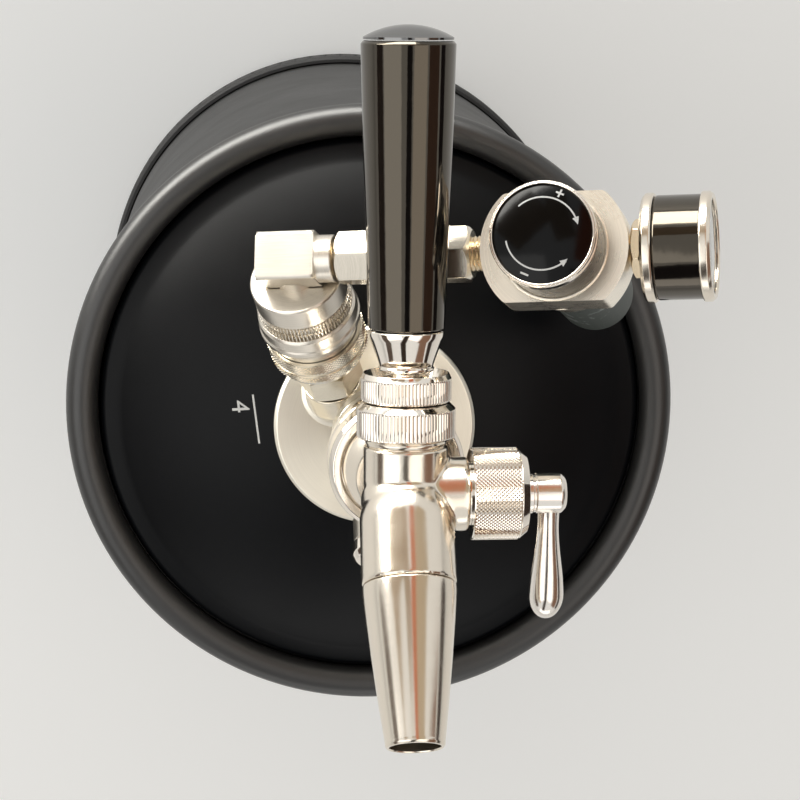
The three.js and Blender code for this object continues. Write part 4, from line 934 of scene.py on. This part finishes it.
def addGas(settings):
    tip = [
        (0, 15.8), (7, 15.8), (7, 17.4, 0.1), (6.5, 17.7, 0.1), (6.5, 18.3, 0.1), (7, 18.6, 0.1), (7, 19.9, 0.2),
        (5.2, 19.9), (5.2, 30, 0.4), (0, 30),
    ]
    post = joined(spun(rod(8.4, -2, 6.2, 0.4), 72), hexed(9.4, 6.8, 16, 0.94), spun(tip, 72))
    piece("gasPost", "keg", "knurl", gasPlace, "gas_post", post)
    bore = settings["bore"]
    rings = [
        knurled(settings["collar"], low, high, bore, settings["diamonds"], rows, settings["depth"], 0.2)
        for low, high, rows in ((23.1, 25.4, 4), (26.6, 30.3, 7))
    ]
    piece("releaseCollar", "release", "knurl", gasPlace, "release_collar", joined(*rings), 10)
    turned("releaseLine", "release", "satin", gasPlace, None, 112, [
        (bore, 25.3), (13.2, 25.3, 0.2), (13.2, 26.7, 0.2), (bore, 26.7),
    ], True)
    turned("disconnectBody", "keg", "satin", gasPlace, "disconnect_body", 128, [
        (0, 20.2), (12.2, 20.2, 0.2), (12.2, 33.9, 0.4), (12.9, 34.5, 0.3), (14.0, 34.9, 0.2), (14.3, 35.4, 0.3),
        (14.3, 36.8, 0.3), (13.9, 37.3, 0.15), (13.9, 37.6, 0.15), (13.8, 40.4, 0.5), (13.2, 41.2, 0.3), (0, 41.2),
    ])
    teeth = settings["teeth"]
    for name, depth, profile in settings["toothRows"]:
        full = max(radius for radius, height in profile)

        def toothed(angle, reach, height):
            if reach < full - 0.45:
                return reach
            share = (angle * teeth / fullTurn) % 1
            return reach - depth * min(1, max(0, (abs(share - 0.5) - 0.2) / 0.12))

        turned(name, "keg", "satin", gasPlace, None, teeth * 8, profile, True, toothed, 40)
    turned("disconnectCap", "keg", "satin", gasPlace, "disconnect_cap", 128, [
        (0, 45.7), (12.0, 45.7), (12.1, 46.0, 0.2), (12.9, 46.5, 0.3), (12.9, 53.5, 0.7), (0, 53.5),
    ])
    print("disconnect ready")


addGas(gasSettings)


# Gas line

lineSettings = {
    "blockTurn": 26,
    "block": 13.3,
    "half": 8,
    "soft": 1.1,
    "floor": 6.75,  # under the line's axis
    "hexTurn": 30,
    "thread": 4.8,
}


def addLine(settings):
    turn = math.radians(settings["blockTurn"])
    side = lineUp.cross(lineAxis) * math.cos(turn) + lineUp * math.sin(turn)
    wide = settings["block"] / 2
    floor = settings["floor"]
    # a square bar whose lowest edge is cut off flat over the disconnect's cap
    left = (-floor + wide * math.sin(turn)) / math.cos(turn)
    under = (-floor + wide * math.cos(turn)) / math.sin(turn)
    corners = [(wide, wide), (-wide, wide), (-wide, left), (under, -wide), (wide, -wide)]
    soft = settings["soft"]
    outline = softened([(x, y, soft if abs(x) == abs(y) else 0.3) for x, y in corners], True)
    block = pushed(outline, -settings["half"], settings["half"], 0.9)
    piece("elbowBlock", "keg", "brushed", place(lineAt, lineAxis, side), "gas_elbow", block)
    turned("elbowNeck", "keg", "satin", linePlace, None, 96, rod(6.45, 5, 12.6, 0.4))
    thread = settings["thread"]
    piece("elbowThread", "keg", "brass", linePlace, None, threaded(thread, 11, 18, 1.1, 0.5))
    turned("elbowStem", "keg", "satin", gasPlace, None, 72, rod(5.6, 52, 56.5))
    hexTurn = math.radians(settings["hexTurn"])
    nut = hexed(7.7, 13.2, 28.1, 0.9, 0.8, 0.35, hexTurn)
    piece("flareNut", "keg", "fitting", linePlace, "flare_nut", nut)
    coupler = hexed(8.1, 28.4, 50.3, 0.9, 0.8, 0.35, hexTurn)
    piece("lineCoupler", "regulator", "fitting", linePlace, "line_coupler", coupler)
    piece("couplerThread", "regulator", "brass", linePlace, None, threaded(thread, 49.5, 59.5, 1.1, 0.5))
    print("gas line ready")


addLine(lineSettings)


# Regulator

regulatorSettings = {
    "radius": 19.6, "flat": 14.5, "half": 7, "chamfer": 1.1, "cornerSoft": 2.2, "bottle": 11, "bottleEnd": 8.5,
}


def addRegulator(settings):
    radius = settings["radius"]
    soft = settings["cornerSoft"]
    # the round sides and the two flats, with eased corners between them
    centreY = settings["flat"] - soft
    centreX = math.sqrt((radius - soft) ** 2 - centreY ** 2)
    joint = math.atan2(centreY, centreX)
    quarter = arc(0, 0, radius, radius, 0, joint, 14)
    quarter += arc(centreX, centreY, soft, soft, joint, quarterTurn, 5)[1:]
    outline = quarter + [(-x, y) for x, y in reversed(quarter)]
    outline += [(-x, -y) for x, y in quarter[1:]] + [(x, -y) for x, y in reversed(quarter[1:])]
    body = pushed(outline, -settings["half"], settings["half"], settings["chamfer"])
    piece("regulatorBody", "regulator", "champagne", regulatorPlace, "regulator_body", body)
    turned("regulatorStep", "regulator", "champagne", regulatorPlace, None, 128, [
        (0, 6), (13.4, 6), (13.4, 7.25, 0.1), (13.6, 7.8, 0.15), (14.3, 7.8, 0.2), (14.35, 6.9, 0.1), (0, 6.9),
    ])
    turned("regulatorSpigot", "regulator", "champagne", regulatorPlace, None, 96, [
        (0, 6), (9.2, 6), (9.2, 7.8, 0.3), (7.2, 7.9, 0.2), (7.2, 16, 0.3), (0, 16),
    ])
    turned("regulatorBoss", "regulator", "champagne", cartridgePlace, None, 112, [
        (0, 6.5), (14.6, 6.5), (14.6, 7.6, 0.5), (13, 8.4, 0.6), (13, 21, 0.8), (12.2, 22, 0.4), (11.3, 22, 0.2),
        (11.3, 19), (0, 19),
    ])
    bottle = settings["bottle"]
    turned("gasCartridge", "regulator", "green", cartridgePlace, "cartridge", 112, [
        (0, 9.1), (4.6, 9.1, 0.3), (4.6, 17.3), (5.0, 18.0), (6.3, 19.4), (8.2, 21.4), (9.7, 23.8), (10.6, 26.4),
        (bottle, 29), (bottle, 40), (bottle, 54),
    ] + arc(0, 66.5, bottle, settings["bottleEnd"], 0, quarterTurn, 10))
    print("regulator ready")


addRegulator(regulatorSettings)


knobSettings = {
    "radius": 13.9, "ribs": 40, "ribDepth": 0.3, "faceRadius": 12.7, "faceTop": 26.5, "faceEdge": 24.7,
    "arrowRadius": 9.4, "arrowWidth": 0.42, "arrowHead": 1.7, "signRadius": 11.2, "signHalf": 1.1, "signWidth": 0.5,
    "lift": 0.05, "sink": 0.2,
}


def addKnob(settings):
    radius = settings["radius"]
    ribs = settings["ribs"]

    def ribbed(angle, reach, height):
        if reach < radius - 1.4 or height < 18.4 or height > 21.5:
            return reach
        return reach - settings["ribDepth"] * (1 - abs(math.sin(angle * ribs / 2)))

    turned("knobGrip", "knob", "gloss", regulatorPlace, "knob_grip", ribs * 8, [
        (0, 8.2), (9.5, 8.2), (9.8, 8.5), (9.8, 15.6), (10.0, 16.6), (10.6, 17.2), (11.7, 17.7), (12.6, 18.5),
        (13.3, 19.6), (13.75, 20.6), (13.9, 21.0), (13.9, 21.3), (13.9, 21.7), (13.8, 21.95), (13.5, 22), (0, 22),
    ], False, ribbed, 45)
    turned("knobRing", "knob", "chrome", regulatorPlace, "knob_ring", 128, [
        (12.9, 22.2), (13.75, 22.2, 0.2), (13.9, 22.6, 0.2), (13.9, 24.6, 0.3), (13.65, 25.1, 0.15),
        (13.5, 24.9, 0.1), (13.35, 25.3, 0.15), (13.1, 25.5, 0.15), (12.9, 25.3, 0.1),
    ], True)
    reach = settings["faceRadius"]
    faceHeight = crownOver(settings["faceTop"], reach, settings["faceEdge"])[1]
    face = [(0, 22.3), (reach, 22.3)] + crownPoints(faceHeight, reach, 0, 16)
    turned("knobFace", "knob", "ink", regulatorPlace, "knob_face", 128, face, sharp=50)

    def inlaid(path, widths):
        return band(path, widths, faceHeight, settings["lift"], settings["sink"])

    def arrow(start, end, head):
        # an arc of even width that ends in a pointed head
        angles = [start + (end - start) * k / 24 for k in range(25)]
        angles += [end + head * (k + 0.02) / 6 for k in range(7)]
        widths = [settings["arrowWidth"]] * 25 + [settings["arrowHead"] * (1 - k / 6) + 0.03 for k in range(7)]
        return inlaid([heading(math.radians(angle)) * settings["arrowRadius"] for angle in angles], widths)

    def stroke(degrees, across):
        # one bar of the plus or minus, along or across the turn
        out = heading(math.radians(degrees))
        half = (Vector((out.y, -out.x)) if across else out) * settings["signHalf"]
        path = [out * settings["signRadius"] + half * (k / 3 - 1) for k in range(7)]
        return inlaid(path, [settings["signWidth"]] * 7)

    marks = joined(arrow(130, 24, -12), arrow(190, 302, 12), stroke(66, True), stroke(66, False), stroke(246, True))
    piece("knobMarks", "knob", "print", regulatorPlace, None, marks)
    print("knob ready")


addKnob(knobSettings)


# Gauge

gaugeSettings = {
    "radius": 14.4, "case": 13.7, "dial": 12.4, "dialTop": 37.4, "needle": 10.5, "needleHeight": 37.9,
    "ticks": 24, "tickEnd": 11.6, "numbers": (0, 15, 30, 45, 60), "numberAt": 7.7, "numberSize": 2.7,
    "sweep": -270, "zero": 90,
}


def addGauge(settings):
    radius = settings["radius"]
    case = settings["case"]
    dialTop = settings["dialTop"]
    stem = joined(threaded(4, 16, 22, 1.1, 0.5), hexed(7.9, 19.9, 22.7, 0.95))
    piece("gaugeStem", "regulator", "brass", gaugePlace, "gauge_stem", stem)
    turned("gaugeFlange", "regulator", "cast", gaugePlace, "gauge_flange", 128, [
        (0, 23), (13.6, 23, 0.3), (radius, 23.8, 0.4), (radius, 25.5, 0.3), (14.0, 26, 0.2), (0, 26),
    ])
    turned("gaugeCase", "regulator", "gloss", gaugePlace, "gauge_case", 128, [
        (0, 26.2), (13.5, 26.2, 0.2), (case, 26.7, 0.2), (case, 38.2, 0.1), (12.8, 38.2, 0.1), (12.8, 36.6), (0, 36.6),
    ])
    dial = rod(settings["dial"], 36.7, dialTop, 0.1)
    turned("gaugeDial", "regulator", "dial", gaugePlace, "gauge_dial", 112, dial)
    turned("gaugeBezel", "regulator", "cast", gaugePlace, "gauge_bezel", 128, [
        (13.75, 38.3), (14.3, 38.3, 0.2), (radius, 38.7, 0.2), (radius, 40.3, 0.5), (13.7, 41.2, 0.4),
        (12.7, 41.2, 0.3), (12.4, 40.8, 0.2), (12.4, 40.6), (13.75, 40.6),
    ], True)
    turned("gaugeLens", "regulator", "glass", gaugePlace, "gauge_lens", 112, [
        (0, 39.5), (13.3, 39.5, 0.1), (13.3, 40.4, 0.1), (0, 40.5),
    ])

    def dialAngle(share):
        return math.radians(settings["zero"] + settings["sweep"] * share)

    ticks = []
    for k in range(settings["ticks"] + 1):
        inner, width = (9.6, 0.42) if k % 6 == 0 else (10.5, 0.2)
        out = heading(dialAngle(k / settings["ticks"]))
        path = [out * (inner + (settings["tickEnd"] - inner) * step / 2) for step in range(3)]
        ticks.append(band(path, [width] * 3, lambda x, y: dialTop, 0.05, 0.1))
    piece("dialTicks", "regulator", "gloss", gaugePlace, None, joined(*ticks))
    for k, value in enumerate(settings["numbers"]):
        x, y = heading(dialAngle(k / (len(settings["numbers"]) - 1))) * settings["numberAt"]
        where = gaugePlace @ Matrix.Translation(Vector((x, y, dialTop + 0.05)) * millimetre)
        printed("dialNumber%d" % value, str(value), settings["numberSize"], 0.04, "gloss", "regulator", where)
    needle = joined(
        band([(0, -3), (0, -1), (0, 3), (0, 8), (0, settings["needle"])], [1.3, 1.0, 0.8, 0.55, 0.12],
             lambda x, y: settings["needleHeight"], 0.12, 0.12),
        spun([(0, 37.6), (1.5, 37.6, 0.1), (1.5, 38.2, 0.2), (0, 38.3)], 48),
    )
    piece("gaugeNeedle", "pointer", "red", gaugePlace, "gauge_needle", needle)
    print("gauge ready")


addGauge(gaugeSettings)


# Relief valve

def addRelief():
    barrel = [
        (0, 6.8), (5.7, 6.8), (5.7, 10, 0.2), (5.2, 10.4, 0.2), (5.2, 11.2, 0.2), (5.7, 11.6, 0.2), (5.7, 20, 0.4),
        (0, 20),
    ]
    body = joined(hexed(7, 3.3, 7, 0.94), spun(barrel, 72), spun(rod(6.4, -1, 2.8, 0.3), 72))
    piece("reliefBody", "keg", "satin", reliefPlace, "relief_body", body)
    turned("reliefHead", "relief", "chrome", reliefPlace, "relief_stem", 96, [
        (0, 20.3), (5.9, 20.3, 0.3), (6.3, 20.8, 0.3), (6.3, 24.2, 1.0), (5.2, 25.6, 1.1), (0, 25.7),
    ])


addRelief()


# Inner pieces that stay as packed

innerFinish = {
    "satin": (
        "inner_vessel", "neck_ring", "spear_tube", "faucet_shuttle", "regulator_spring", "piercing_pin",
        "gas_poppet", "gas_post_spring", "relief_spring",
    ),
    "rubber": ("head_gasket", "coupling_washer", "lever_seat", "shuttle_seal", "flow_oring"),
    "brass": ("regulator_piston",),
}
for finishName, nodeNames in innerFinish.items():
    for nodeName in nodeNames:
        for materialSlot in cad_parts[nodeName].material_slots:
            materialSlot.material = look[finishName]
print("inner pieces ready")


# Light and surroundings, in metres

lightSettings = {
    "aim": (0, 0, 0.28),
    "floorReach": 6,
    "floorDrop": 0.0003,
    "floorColour": (0.86, 0.86, 0.85),
    "floorLift": (0.17, 0.17, 0.165),
    "worldLow": (0.80, 0.79, 0.77),
    "worldHigh": (0.88, 0.88, 0.87),
    "worldStrength": 0.50,  # for the light that it casts
    # name, spot, size, power, colour
    "lamps": (
        ("leftLamp", (-1.03, -0.2, 1.5), (1.2, 1.3), 5.0, (1, 0.985, 0.96)),
        ("rightLamp", (0.62, -0.25, 1.72), (1.2, 0.9), 3.0, (1, 0.86, 0.72)),
        ("backLamp", (-0.5, 1.9, 0.85), (2.4, 0.9), 9.0, (1, 0.98, 0.95)),
        ("frontLamp", (-0.1, -1.5, 0.7), (1.4, 0.5), 2.0, (1, 0.97, 0.94)),
    ),
    # name, spot, size, colour, glow; they show only in mirrors
    "cards": (
        ("overheadCard", (-0.16, -0.62, 1.34), (0.30, 1.9), (0.05, 0.036, 0.028), 0),
        ("leftCard", (-1.45, -0.45, 0.72), (1.7, 0.5), (0.16, 0.12, 0.10), 0),
        ("rightCard", (1.25, -0.45, 1.05), (1.7, 0.8), (0.34, 0.20, 0.14), 0),
        ("lowCard", (1.45, -0.45, 0.35), (1.7, 0.4), (0.05, 0.035, 0.03), 0),
        ("tanCard", (-0.24, 0.98, 1.42), (0.36, 0.8), (0.60, 0.46, 0.33), 0),
        ("duskCard", (-0.82, 0.89, 1.20), (0.85, 0.7), (0.60, 0.46, 0.33), 0),
        ("sandCard", (0.62, 0.82, 1.49), (0.75, 1.1), (0.80, 0.66, 0.49), 0),
        ("copperCard", (0.165, 0.82, 1.53), (0.26, 1.2), (0.90, 0.28, 0.13), 0),
        ("windowCard", (-0.95, 1.85, 0.70), (3.2, 1.1), (0.8, 0.8, 0.8), 15),
    ),
    "glowColour": (1, 0.98, 0.92, 1),
}


def addSurroundings(settings):
    def sheet(name, wide, deep, finish):
        # a flat rectangle that belongs to the studio
        x, y = wide / 2, deep / 2
        mesh = bpy.data.meshes.new(name)
        mesh.from_pydata([(-x, -y, 0), (x, -y, 0), (x, y, 0), (-x, y, 0)], [], [(0, 1, 2, 3)])
        mesh.materials.append(finish.material)
        made = hung(name, mesh)
        return made

    def facing(made, spot):
        made.location = spot
        aim = Vector(settings["aim"]) - Vector(spot)
        made.rotation_euler = aim.to_track_quat("-Z", "Y").to_euler()

    paper = Finish("floorPaper", settings["floorColour"], 0.8)
    mottle = paper.noise(paper.spot(), 0.02, 2, 0.5)
    paper.tint(mottle * 0.1, paper.shaded(0.97))
    # the floor looks paler to the camera, and lights nothing
    paper.set("Emission Color", paper.blend(paper.seen(), (0, 0, 0, 1), (*settings["floorLift"], 1)))
    paper.set("Emission Strength", 1.0)
    reach = 2 * settings["floorReach"]
    sheet("studioFloor", reach, reach, paper).location.z = -settings["floorDrop"]

    world = bpy.data.worlds.new("studio")
    world.use_nodes = True
    bpy.context.scene.world = world
    nodes = Nodes(world.node_tree)
    background = world.node_tree.nodes["Background"]
    point = nodes.node("ShaderNodeTexCoord", output="Generated")
    height = nodes.node("ShaderNodeSeparateXYZ", None, {0: point}, 2)
    stops = [(0.5, settings["worldLow"]), (0.9, settings["worldHigh"])]
    sky = nodes.node("ShaderNodeValToRGB", {"stops": stops}, {0: height * 0.5 + 0.5})
    cast = settings["worldStrength"]
    nodes.feed(background.inputs["Color"], sky)
    nodes.feed(background.inputs["Strength"], nodes.seen() * (1 - cast) + cast)

    for name, spot, size, power, tint in settings["lamps"]:
        data = bpy.data.lights.new(name, "AREA")
        data.shape = "RECTANGLE"
        data.size, data.size_y = size
        data.energy = power
        data.color = tint
        facing(hung(name, data), spot)
    for name, spot, size, tint, glow in settings["cards"]:
        constants = {"Specular IOR Level": 0.0, "Emission Color": settings["glowColour"], "Emission Strength": glow}
        card = sheet(name, *size, Finish(name + "Cloth", tint, 0.9, 0.0, constants))
        facing(card, spot)
        for ray in ("camera", "diffuse", "transmission", "shadow"):
            setattr(card, "visible_" + ray, False)
    print("light ready")


addSurroundings(lightSettings)

bpy.context.view_layer.update()
